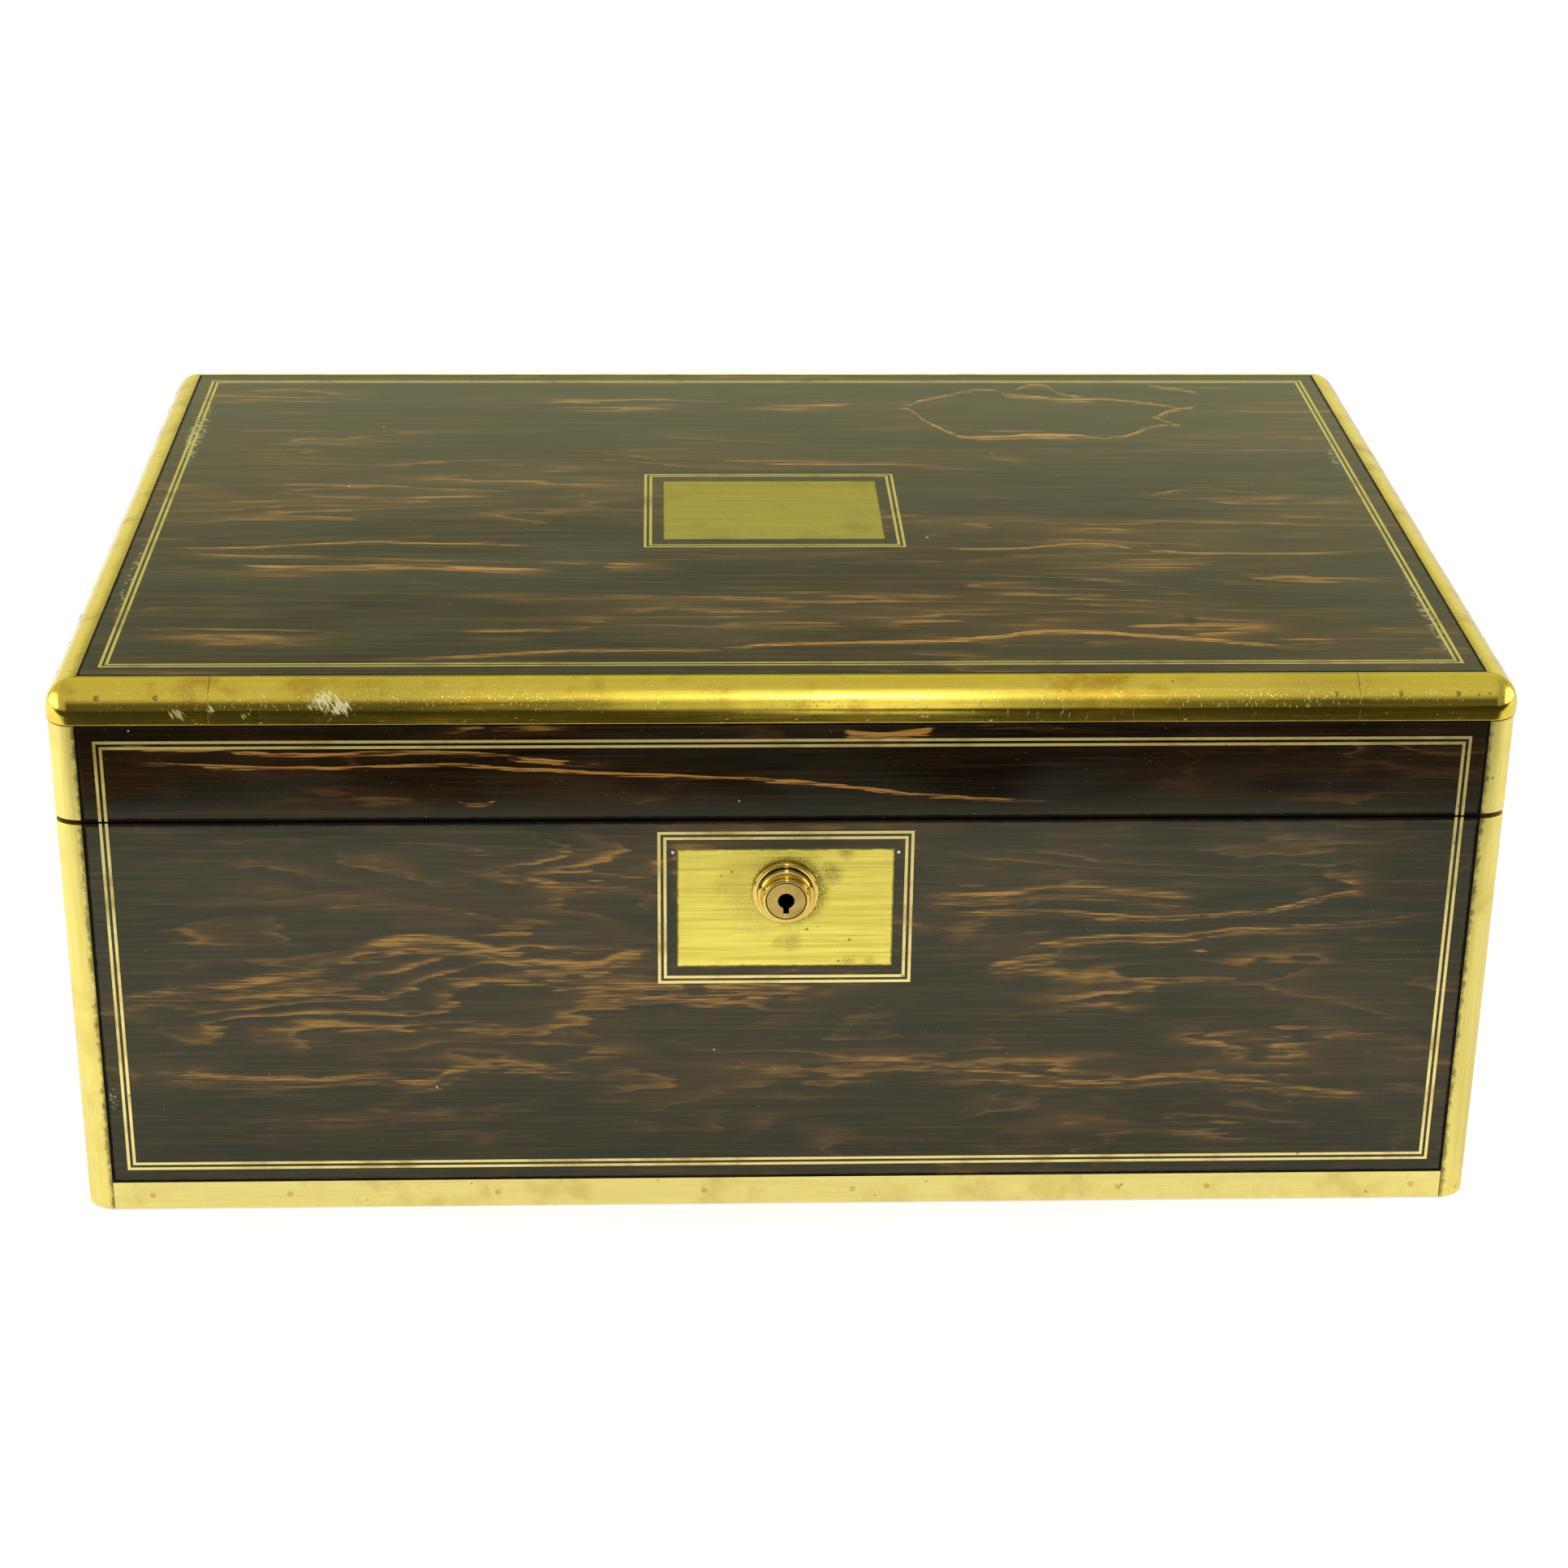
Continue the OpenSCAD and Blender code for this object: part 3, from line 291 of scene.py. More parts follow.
class CoromandelFigure(Effect):
    """Flamed figure of coromandel veneer: the cut edges of bent growth layers.

    A level rises across the grain and is bent by three clouds, slow to quick, so that its layers
    wave, split and close into eyes. Each layer starts with a sharp light edge and fades into the
    dark wood. A patchy cloud, raised by the density, picks where the layers show. A share of the
    cells of a stretched pattern are small dark islands.
    """

    takes = {"Place": ORIGIN, "Density": 0.0}
    gives = ("Flame", "Core", "Fibre", "Feather", "Cloud", "Bend", "Island")

    def fill(self, graph: Graph, given: Wires) -> Outs:
        """Bends the level, cuts it into layers and shows them in patches."""
        place = given["Place"]
        along, across, deep = place.parts()
        slow = place.stretch((5, 17, 5)).noise()
        quick = place.stretch((20, 75, 20), (5, 2, 1)).noise(detail=3, rough=0.55)
        feather = place.stretch((26, 460, 26)).noise(detail=3, rough=0.7)
        fibre = place.stretch((70, 2300, 70)).noise(rough=0.6)
        level = across * 55.0 + slow.swing(15.0) + quick.swing(4.0) + feather.swing(0.8)
        layer = level.math("FRACT")
        ridge = layer.step(0.0, 0.14) * layer.fall(0.16, 0.8)
        patch = place.stretch((10, 34, 10), (3, 1, 2)).noise(detail=3, rough=0.6)
        shown = (patch + given["Density"] * 0.2).step(0.42, 0.8)
        flame = ridge * shown * feather.step(0.3, 0.6, 0.25)
        glints = place.stretch((30, 60, 30), (1, 8, 4)).noise().step(0.45, 0.62)
        core = flame * layer.fall(0.1, 0.3) * glints
        bend = quick.swing(0.006) + feather.swing(0.0014)
        cell = graph.join(along, across + bend, deep).stretch((105, 400, 105)).cells()
        island = cell["Color"].parts()[0].fall(0.45, 0.5) * cell["Distance"].fall(0.2, 0.38)
        return flame, core, fibre, feather, patch, bend, island


class FigureStreak(Effect):
    """A bundle of thin lines beside a route, measured from it in widths.

    Its upper side is sharp, with one bright line. Below, lines a width apart fade over a few
    widths. Fibres and a cloud break them up, and the bundle fades at both ends.
    """

    takes = {"Off": 0.0, "Share": 0.5, "Feather": 0.5, "Fibre": 0.5, "Cloud": 0.5}

    def fill(self, graph: Graph, given: Wires) -> Outs:
        """Multiplies the bundle's envelope by its lines, its fibres and its ends."""
        off, share = given["Off"], given["Share"]
        layer = (off * 0.8 + given["Feather"].swing(1.6)).math("FRACT")
        lines = layer.step(0.0, 0.25) * layer.fall(0.35, 0.95)
        crest = off.step(-0.7, 0.2) * off.fall(0.3, 1.0)
        below = off.step(-2.6, -0.2) * off.fall(0.1, 0.8)
        body = crest | below * (0.3 + lines * 0.6)
        grain = (given["Fibre"].step(0.35, 0.6, 0.3) * given["Feather"].step(0.3, 0.6, 0.45)
                 * given["Cloud"].step(0.3, 0.55, 0.6))
        ends = share.step(0.0, 0.16) * share.fall(0.82, 1.0)
        return (body * grain * ends * 1.6,)


class FigurePatch(Effect):
    """Soft oval mask on a face, where the figure gathers.

    The mask is one at the centre and falls off with the distance, measured in reaches.
    """

    takes = {"Place": ORIGIN, "Centre": ORIGIN, "Reach": (1.0, 1.0, 1.0), "Lean": 0.0}

    def fill(self, graph: Graph, given: Wires) -> Outs:
        """Measures the distance from the centre in reaches, with a lean, and fades by it."""
        along, across, _ = given["Place"].away(given["Centre"]).parts()
        level = across - along * given["Lean"]
        far = graph.join(along, level).vector("DIVIDE", given["Reach"]).length()
        return (far.fall(0.2, 1.1),)


class FigureEye(Effect):
    """Ring of light figure round a dark knot.

    The distance from the knot's centre in radii, shaken by a cloud, is one on the ring.
    """

    takes = {"Place": ORIGIN, "Centre": ORIGIN, "Radii": (1.0, 1.0, 1.0), "Width": 0.1}
    gives = ("Ring", "Inside")

    def fill(self, graph: Graph, given: Wires) -> Outs:
        """Draws a band of the given width where the shaken distance is one."""
        place = given["Place"]
        far = place.away(given["Centre"]).vector("DIVIDE", given["Radii"]).length()
        far = far + place.stretch((45, 70, 45)).noise(detail=3, rough=0.55).swing(0.6)
        broken = place.stretch((36, 50, 36), (7, 3, 1)).noise(detail=3)
        off = (far - 1.0) / (given["Width"] * broken.step(0.35, 0.7, 0.45, 1.9))
        fine = place.stretch((60, 900, 60)).noise(detail=3, rough=0.7).step(0.38, 0.6, 0.3)
        ring = off.fall(0.0, 1.4) * off.step(-0.7, -0.1) * broken.step(0.36, 0.56, 0.2) * fine
        return ring, far.fall(0.8, 1.0)


class PanelEdge(Effect):
    """How near a point is to the edge of an upright or level rectangle.

    Inside the rectangle, the mask is one at the edge and gone at the reach. Past mirrors it, and
    is for the corner posts, which lie outside two rectangles at once.
    """

    takes = {"Place": ORIGIN, "Centre": ORIGIN, "Half": (1.0, 1.0, 1.0), "Reach": 0.001, "Ragged": 0.001}
    gives = ("Near", "Past")

    def fill(self, graph: Graph, given: Wires) -> Outs:
        """Takes the smaller distance to the two pairs of sides, roughened by a cloud."""
        away = given["Place"].away(given["Centre"]).vector("ABSOLUTE")
        side, end, _ = given["Half"].vector("SUBTRACT", away).parts()
        shake = given["Place"].noise(380.0, detail=3, rough=0.65).swing(given["Ragged"])
        near = side.math("MINIMUM", end) + shake
        past = (side | end) * -1.0 + shake
        return near.fall(0.0, given["Reach"]), past.fall(0.0, given["Reach"])


class BrushedMetal(Effect):
    """Fine lines along X from a polishing cloth or file, with a slow shade of the same direction."""

    gives = ("Lines", "Shade")

    def fill(self, graph: Graph, given: Wires) -> Outs:
        """Draws noise that is far finer across X than along it, at two scales."""
        lines = given["Place"].stretch((30, 2600, 2600)).noise(detail=3, rough=0.7)
        return lines, given["Place"].stretch((16, 620, 620)).noise(detail=4, rough=0.7)


class Tarnish(Effect):
    """Brown clouds and small dark spots on old brass."""

    takes = {"Place": ORIGIN, "Size": 60.0, "Share": 0.08}
    gives = ("Cloud", "Spots")

    def fill(self, graph: Graph, given: Wires) -> Outs:
        """A broad cloud, and the middles of a share of the cells of a fine pattern."""
        cloud = given["Place"].scaled(given["Size"]).noise(detail=4, rough=0.62)
        cell = given["Place"].cells(330.0)
        kept = cell["Color"].parts()[0].below(given["Share"])
        return cloud, kept * cell["Distance"].fall(0.04, 0.2)


class Scratches(Effect):
    """Thin short scratches in three directions.

    Each set is a cell pattern stretched far along one direction, of which few cells are kept.
    """

    takes = {"Place": ORIGIN, "Amount": 0.5}

    def fill(self, graph: Graph, given: Wires) -> Outs:
        """Draws the three sets and keeps the strongest."""
        limit = given["Amount"] * 0.07
        sets = []
        for number, angle in enumerate((0.35, 1.25, 2.5)):
            turned = given["Place"].stretch((1, 1, 1), (number, number, 0), (angle, 0.6 * angle, angle))
            cell = turned.stretch((60, 1900, 1900)).cells()
            sets.append(cell["Color"].parts()[0].below(limit) * cell["Distance"].fall(0.1, 0.4))
        return (either(*sets),)


class DustSpecks(Effect):
    """Pale specks on a polished face: small dots in a share of the cells of a pattern."""

    takes = {"Place": ORIGIN, "Size": 220.0, "Share": 0.03}

    def fill(self, graph: Graph, given: Wires) -> Outs:
        """Keeps the given share of cells and shows a dot of its own size in each."""
        cell = given["Place"].scaled(given["Size"]).cells()
        pick, size, _ = cell["Color"].parts()
        dot = cell["Distance"].below(size.step(0.0, 1.0, 0.02, 0.065))
        return (pick.below(given["Share"]) * dot,)


class WoodGrain(Effect):
    """Plain timber grain along X: growth bands and short dark pores."""

    takes = {"Place": ORIGIN, "Bands": 140.0}
    gives = ("Rings", "Pores")

    def fill(self, graph: Graph, given: Wires) -> Outs:
        """Bands across the bent grain, and fine stretched noise for the pores."""
        place, bands = given["Place"], given["Bands"]
        along, across, deep = place.parts()
        bend = place.stretch((5, 14, 14)).noise(detail=3).swing(0.03)
        lane = graph.join(along * 4.0, (across + bend) * bands, (deep + bend) * bands)
        pores = place.stretch((90, 2200, 2200)).noise(rough=0.7)
        return lane.noise(detail=3, rough=0.6), pores.step(0.58, 0.7)


class LeatherGrain(Effect):
    """Pebbled grain of thin leather with soft creases and wear."""

    gives = ("Pebble", "Crease", "Wear")

    def fill(self, graph: Graph, given: Wires) -> Outs:
        """Cell distances for the pebbles, stretched noise for creases and a cloud for wear."""
        place = given["Place"]
        crease = place.stretch((45, 150, 150)).noise(detail=4, rough=0.65)
        return place.cells(1300.0)["Distance"], crease, place.noise(22.0, detail=4, rough=0.6)


# ---------------------------------------------------------------- finishes


PANEL_MAP = "panel"
FAR_SIDE = 1000.0  # half size, in millimetres, of a panel in the direction that has no edge
POLISH_DEPTH = 0.00006  # full depth of polishing marks, in metres
# The first colour is painted shade along the veneers' edges.
EDGE_SHADE, DARK_MARK, THREAD = tone(12, 10, 8), tone(14, 10, 8), tone(8, 7, 5)
FILLER, DUST, SCRATCHED = tone(170, 164, 120), tone(206, 202, 180), tone(150, 146, 122)
SPOT, CLEAN_CUT, DIRT_AND_SHADE = tone(84, 58, 26), tone(250, 240, 190), tone(58, 46, 24)
CHALK, BORE_SHADE = tone(226, 220, 176), tone(16, 12, 8)


class Grain(Enum):
    """Turn that brings a face's grain or brushing along X and its width into Y."""

    LEVEL = (0.0, 0.0, 0.0)
    FRONT = (-math.pi / 2, 0.0, 0.0)
    SIDE = (-math.pi / 2, -math.pi / 2, 0.0)
    UPRIGHT = (0.0, math.pi / 2, 0.0)


class Paint(Graph):
    """A material while it is made: its graph with one Principled shader."""

    def __init__(self, name: str) -> None:
        """Starts an empty material with one Principled shader."""
        self.material = bpy.data.materials.new(name)
        self.material.use_nodes = True
        self.material.node_tree.nodes.clear()
        super().__init__(self.material.node_tree)
        self.shader = self.node("BsdfPrincipled")
        self.node("OutputMaterial", {"Surface": Wire(self, self.shader.outputs[0])})

    def grain_place(self, grain: Grain) -> Wire:
        """The point on the piece, turned so that its grain runs along X."""
        return self.object_place().stretch((1, 1, 1), turn=grain.value)

    def set(self, **values: object) -> bpy.types.Material:
        """Sets the shader's sockets.

        Args:
            **values: socket names with underscores for spaces, to plain values or wires.

        Returns:
            The finished material.
        """
        for name, value in values.items():
            self.feed(self.shader.inputs[name.replace("_", " ")], value)
        return self.material


@dataclass(frozen=True)
class Streak:
    """A light streak that follows the grain across a face, in millimetres."""

    route: tuple[float, ...]  # places along the grain and across it by turns, from left to right
    width: float  # half width of the streak
    strength: float  # how light the streak is, 0 to 1

    def mask(self, along: Wire, bent: Wire, figure: Wires) -> Wire:
        """Draws the streak beside its route.

        A curve through the route gives the middle's place across the grain.

        Args:
            along: place along the grain, in metres.
            bent: place across the grain, bent by the figure's waves.
            figure: outputs of the figure group.

        Returns:
            The streak's mask.
        """
        graph = along.graph
        runs, heights = self.route[::2], self.route[1::2]
        first, last, low, high = runs[0], runs[-1], min(heights) - 1, max(heights) + 1
        share = graph.wire("MapRange", {"Value": along, "From Min": first * MM, "From Max": last * MM})
        curve = graph.node("FloatCurve", {"Value": share})
        points = curve.mapping.curves[0].points
        places = [((u - first) / (last - first), (v - low) / (high - low)) for u, v in zip(runs, heights)]
        points[0].location, points[1].location = places[0], places[-1]
        for place in places[1:-1]:
            points.new(*place)
        curve.mapping.update()
        ends = {"Value": Wire(graph, curve.outputs[0]), "To Min": low * MM, "To Max": high * MM}
        off = (bent - graph.wire("MapRange", ends)) / (self.width * MM)
        breaks = {name: figure[name] for name in ("Feather", "Fibre", "Cloud")}
        return FigureStreak().place(graph, Off=off, Share=share, **breaks)["Mask"] * self.strength


@dataclass(frozen=True)
class Gather:
    """An oval place on a face, in millimetres along and across the grain."""

    centre: Place  # its middle
    reach: Place  # its half lengths along and across the grain
    strength: float  # how much it adds
    lean: float = 0.0  # rise of its long axis across the grain

    def mask(self, place: Wire) -> Wire:
        """The oval's mask times its strength."""
        reach = (self.reach[0] * MM, self.reach[1] * MM, 1)
        values = {"Place": place, "Centre": metres(*self.centre), "Reach": reach, "Lean": self.lean}
        return FigurePatch().place(place.graph, **values)["Mask"] * self.strength


def gathered(*rows: tuple[float, ...]) -> tuple[Gather, ...]:
    """Gathers from rows of two centres, two reaches, a strength and perhaps a lean."""
    return tuple(Gather(row[:2], row[2:4], *row[4:]) for row in rows)


@dataclass(frozen=True)
class Knot:
    """A dark knot, with a light ring unless its strength is 0, in millimetres."""

    centre: Place
    radii: Place
    width: float
    strength: float

    def eye(self, place: Wire) -> Wires:
        """The ring and the inside of the knot."""
        radii = (self.radii[0] * MM, self.radii[1] * MM, 1)
        values = {"Place": place, "Centre": metres(*self.centre), "Radii": radii, "Width": self.width}
        return FigureEye().place(place.graph, **values)


def edge_masks(place: Wire, centre: Place, half: Place, reach: float, ragged: float) -> Wires:
    """Masks of a rectangle's edge.

    Args:
        place: the point, with the rectangle's sides along its X and Y.
        centre: middle of the rectangle, in millimetres.
        half: its half sizes, in millimetres.
        reach: how far the masks go from the edge, in metres.
        ragged: how far the reach is shaken, in metres.

    Returns:
        The masks Near, inside, and Past, outside.
    """
    sizes = {"Centre": metres(*centre), "Half": metres(*half, FAR_SIDE)}
    return PanelEdge().place(place.graph, Place=place, Reach=reach, Ragged=ragged, **sizes)


@dataclass(frozen=True)
class VeneerFinish:
    """French-polished coromandel veneer on one face."""

    name: str
    grain: Grain  # how the face lies
    shift: float  # moves the figure, so that no two faces are alike, in metres
    streaks: tuple[Streak, ...] = ()  # long streaks that run with the grain
    gathers: tuple[Gather, ...] = ()  # places where the figure gathers
    knots: tuple[Knot, ...] = ()  # dark knots with light rings
    worn: tuple[Gather, ...] = ()  # places where pale filler shows in chips
    stains: tuple[Gather, ...] = ()  # dark marks
    # middle and half size of the panel whose edge is shaded, in millimetres
    edge: tuple[Place, Place] = ((0, 0), (FAR_SIDE, FAR_SIDE))
    plain: float = 0.2  # how much figure there is away from the gathers
    draw: float = 1.0  # how short the figure is along the grain
    dark: Colour = tone(19, 15, 9)
    brown: Colour = tone(90, 60, 24)
    bright: Colour = tone(180, 130, 60)
    gloss: float = 0.10

    def build(self) -> bpy.types.Material:
        """Builds the veneer: dark ground, layers and streaks, fibres, wear, dust, painted shade at the edges
        and polish.

        Returns:
            The material.
        """
        paint = Paint(self.name)
        place = paint.grain_place(self.grain)
        moved = place.stretch((self.draw, 1, 1), (self.shift, 0.37 * self.shift, 2 * self.shift))
        eyes = [knot.eye(place) for knot in self.knots]
        density: object = self.plain
        for gather in self.gathers:
            density = density + gather.mask(place)
        for eye in eyes:
            density = density - eye["Inside"] * 2.5
        figure = CoromandelFigure().place(paint, Place=moved, Density=density)
        along, across, _ = place.parts()
        bent = across + figure["Bend"]
        streaks = [streak.mask(along, bent, figure) for streak in self.streaks]
        rings = [eye["Ring"] * knot.strength for knot, eye in zip(self.knots, eyes, strict=True)]
        frayed = place.stretch((70, 1700, 1700)).noise(detail=3, rough=0.7).step(0.42, 0.68)
        light = either(figure["Flame"], *streaks, *rings) * (1.0 + figure["Island"] * -0.55 + frayed * -0.42)
        return self.polish(paint, place, figure, light)

    def polish(self, paint: Paint, place: Wire, figure: Wires, light: Wire) -> bpy.types.Material:
        """Colours the masks and lays wear, dust, scratches, painted shade along the panel's edges and polish
        over them.

        Args:
            paint: the material that is made.
            place: the point on the face.
            figure: outputs of the figure group.
            light: mask of everything light in the wood.

        Returns:
            The material.
        """
        threads = place.stretch((18, 900, 900)).noise(detail=4, rough=0.75)
        wood = figure["Cloud"].step(0.42, 0.66).mix(self.dark, paint.mix(0.3, self.dark, self.brown))
        wood = (figure["Feather"].step(0.48, 0.76) * 0.3).mix(wood, self.brown)
        wood = (figure["Fibre"].step(0.48, 0.74) * 0.35).mix(wood, self.brown)
        wood = (threads.step(0.5, 0.7) * 0.6).mix(wood, self.brown)
        wood = (threads.step(0.5, 0.3) * 0.6).mix(wood, THREAD)
        wood = light.step(0.0, 0.7).mix(wood, self.brown)
        wood = (light.step(0.4, 1.1) | figure["Core"] * 0.7).mix(wood, self.bright)
        for mark in self.stains:
            wood = mark.mask(place).mix(wood, DARK_MARK)
        chips = place.noise(700.0, detail=3, rough=0.7).step(0.52, 0.56)
        for patch in self.worn:
            wood = (patch.mask(place) * chips).mix(wood, FILLER)
        # Painted shade: the wood goes near black along the panel's edges, at the brass and at the seam, where
        # its polish is also rougher and reflects less.
        near = edge_masks(place, *self.edge, reach=0.0015, ragged=0.0007)["Near"]
        wood = (near * 0.95).mix(wood, EDGE_SHADE)
        coarse, fine = (DustSpecks().place(paint, Place=place, Size=size, Share=share)["Mask"]
                        for size, share in ((150.0, 0.05), (420.0, 0.13)))
        specks = coarse | fine * 0.6
        scratch = Scratches().place(paint, Place=place, Amount=0.22)["Mask"]
        wood = (specks * 0.8).mix(wood, DUST)
        wood = (scratch * 0.1).mix(wood, SCRATCHED)
        smear = place.stretch((12, 26, 12), (4, 9, 2)).noise(detail=3, rough=0.6)
        rough = smear.step(0.3, 0.75, self.gloss - 0.04, self.gloss + 0.1)
        rough = rough + specks * 0.3 + scratch * 0.12 + near * 0.45
        height = figure["Fibre"] * 0.25 + scratch * -0.4 + smear
        return paint.set(Base_Color=wood, Roughness=rough, Normal=height.relief(0.12, POLISH_DEPTH), IOR=1.5,
                         Specular_IOR_Level=near.step(0.1, 0.6, 0.5, 0.06), Specular_Tint=(0.94, 1.0, 0.68, 1))


@dataclass(frozen=True)
class Soil:
    """Dirt round a place: its centre and the two radii between which it fades, in millimetres."""

    centre: Vec
    near: float
    far: float
    strength: float

    def mask(self, place: Wire) -> Wire:
        """The dirt's mask: blotches that fade at a ragged edge."""
        ragged = place.noise(420.0, detail=4, rough=0.8).swing(0.8 * (self.far - self.near) * MM)
        reach = place.away(metres(*self.centre)).length() + ragged
        blotch = place.noise(2700.0, detail=3, rough=0.75).step(0.42, 0.6, 0.15)
        return reach.fall(self.near * MM, self.far * MM) * blotch * self.strength


@dataclass(frozen=True)
class Scuff:
    """A pale scuff of short slanting strokes: its centre and half width, in millimetres."""

    centre: Vec
    half: float
    strength: float = 0.9

    def mask(self, place: Wire) -> Wire:
        """The scuff's mask: a ragged patch that is broken into strokes."""
        away = place.away(metres(*self.centre)).stretch((1, 1, 1.5)).length()
        slanted = place.stretch((1, 1, 1), turn=(0, math.radians(32), 0))
        strokes = slanted.stretch((1900, 500, 330)).noise(detail=3, rough=0.7)
        reach = away + strokes.swing(-5.0 * self.half * MM)
        inside = reach.fall(0.45 * self.half * MM, 0.95 * self.half * MM)
        return inside * strokes.step(0.36, 0.56, 0.25) * self.strength


@dataclass(frozen=True)
class BrassFinish:
    """Old brass: polished, brushed, tarnished and scratched by degrees."""

    name: str
    colour: Colour  # reflected colour of the clean metal
    dull: Colour  # colour of the tarnish
    gloss: float  # roughness of the clean metal
    grain: Grain = Grain.LEVEL  # direction of the brushing
    brush: float = 0.4  # how deep the brushing is
    tarnish: float = 0.5  # share of tarnish
    spots: float = 0.05  # share of dark spots
    scratches: float = 0.5  # amount of scratches
    dents: float = 0.0  # height of the slow waves in the sheet, in millimetres
    soils: tuple[Soil, ...] = ()  # dirt round fittings
    # middle and half size of a plate whose edge is dirty, in the brushing's own axes
    panel: tuple[Place, Place] | None = None
    # half sizes of the veneer that the corner posts frame, beside whose edge the brass is darker
    posts: Place | None = None
    scuffs: tuple[Scuff, ...] = ()  # pale scuffs
    inner: float | None = None  # place along Y past which the metal is painted near black, painted shade inside the bore, in millimetres
    rings: tuple[float, ...] = ()  # radii round the key's axis of dark rings, painted shade in the gaps and steps of the turned brass, in millimetres
    key_z: float = 102.3  # height of the key's axis, in millimetres
    rim_z: float = 153.9  # height of the dark line under the rim, in millimetres

    def build(self) -> bpy.types.Material:
        """Builds the brass from brushing, tarnish, dirt and painted shade, spots, dents and scratches.

        Returns:
            The material.
        """
        paint = Paint(self.name)
        place = paint.object_place()
        turned = place.stretch((1, 1, 1), turn=self.grain.value)
        brushed = BrushedMetal().place(paint, Place=turned)
        old = Tarnish().place(paint, Place=place, Size=60.0, Share=self.spots)
        scratch = Scratches().place(paint, Place=place, Amount=self.scratches)["Mask"]
        worn = old["Cloud"].step(0.45, 0.72) * self.tarnish
        shade = brushed["Shade"].step(0.35, 0.75) * (0.5 * self.brush)
        lines = brushed["Lines"].step(0.5, 0.75) * (0.75 * self.brush)
        colour = either(worn, shade, lines).mix(self.colour, self.dull)
        colour = (old["Spots"] * 0.7).mix(colour, SPOT)
        colour = (scratch * 0.5).mix(colour, CLEAN_CUT)
        dirt = self.dirt(place, turned)
        if dirt:
            colour = either(*dirt).mix(colour, DIRT_AND_SHADE)
        matte = either(*[scuff.mask(place) for scuff in self.scuffs]) if self.scuffs else 0.0
        colour = paint.mix(matte, colour, CHALK)
        # Painted shade: past this place, inside the bore, the metal is coloured near black.
        if self.inner is not None:
            in_bore = place.parts()[1].step(self.inner * MM, (self.inner + 0.5) * MM)
            colour = in_bore.mix(colour, BORE_SHADE)
        dullest = self.gloss + 0.04 + 0.1 * self.brush
        rough = brushed["Lines"].step(0.2, 0.8, self.gloss - 0.04, dullest)
        rough = rough + worn * 0.1 + old["Spots"] * 0.2 + matte * 0.5
        height = brushed["Lines"] * self.brush + scratch * -0.5 + old["Spots"] * -0.6
        normal = height.relief(0.35, POLISH_DEPTH)
        if self.dents:
            waves = place.noise(38.0, detail=3, rough=0.45)
            normal = waves.relief(1.0, self.dents * MM, Normal=normal)
        return paint.set(Base_Color=colour, Roughness=rough, Metallic=1.0 - matte, Normal=normal)

    def dirt(self, place: Wire, turned: Wire) -> list[Wire]:
        """Masks of dirt round fittings and at a plate's edge, of painted shade in rings round the key's axis,
        and of darkening beside the veneer and just under the rim.

        Args:
            place: the point on the piece.
            turned: the same point in the brushing's axes.

        Returns:
            The masks, none where the metal is left plain.
        """
        masks = [soil.mask(place) for soil in self.soils]
        # Painted shade: dark rings in the gap round the barrel and at the nozzle's step.
        if self.rings:
            away = place.away(metres(0, 0, self.key_z)).vector("MULTIPLY", (1, 0, 1)).length()
            away = away + place.noise(900.0).swing(0.12 * MM)
            masks += [abs(away - radius * MM).fall(0.04 * MM, 0.17 * MM, 0.9) for radius in self.rings]
        if self.panel is not None:
            masks.append(edge_masks(turned, *self.panel, reach=0.0007, ragged=0.0009)["Near"] * 0.85)
        if self.posts is not None:
            # The posts darken beside the veneer and in a thin line just under the rim.
            masks.append(edge_masks(place, (0, 0), self.posts, 0.0015, 0.0034)["Past"] * 0.75)
            masks.append(abs(place.parts()[2] - self.rim_z * MM).fall(0.15 * MM, 0.55 * MM, 0.9))
        return masks


@dataclass(frozen=True)
class TimberFinish:
    """Plain carcass or fitted timber with growth bands and pores."""

    name: str
    light: Colour
    dark: Colour
    grain: Grain = Grain.LEVEL
    gloss: float = 0.42
    bands: float = 140.0

    def build(self) -> bpy.types.Material:
        """Builds the timber's colour, sheen and open pores.

        Returns:
            The material.
        """
        paint = Paint(self.name)
        grain = WoodGrain().place(paint, Place=paint.grain_place(self.grain), Bands=self.bands)
        deep = (0.35 * self.dark[0], 0.35 * self.dark[1], 0.35 * self.dark[2], 1.0)
        colour = grain["Rings"].step(0.34, 0.66).mix(self.light, self.dark)
        colour = (grain["Pores"] * 0.5).mix(colour, deep)
        rough = grain["Rings"].step(0.2, 0.8, self.gloss - 0.05, self.gloss + 0.08) + grain["Pores"] * 0.15
        height = grain["Rings"] * 0.4 - grain["Pores"]
        return paint.set(Base_Color=colour, Roughness=rough, Normal=height.relief(0.35, 0.0001))


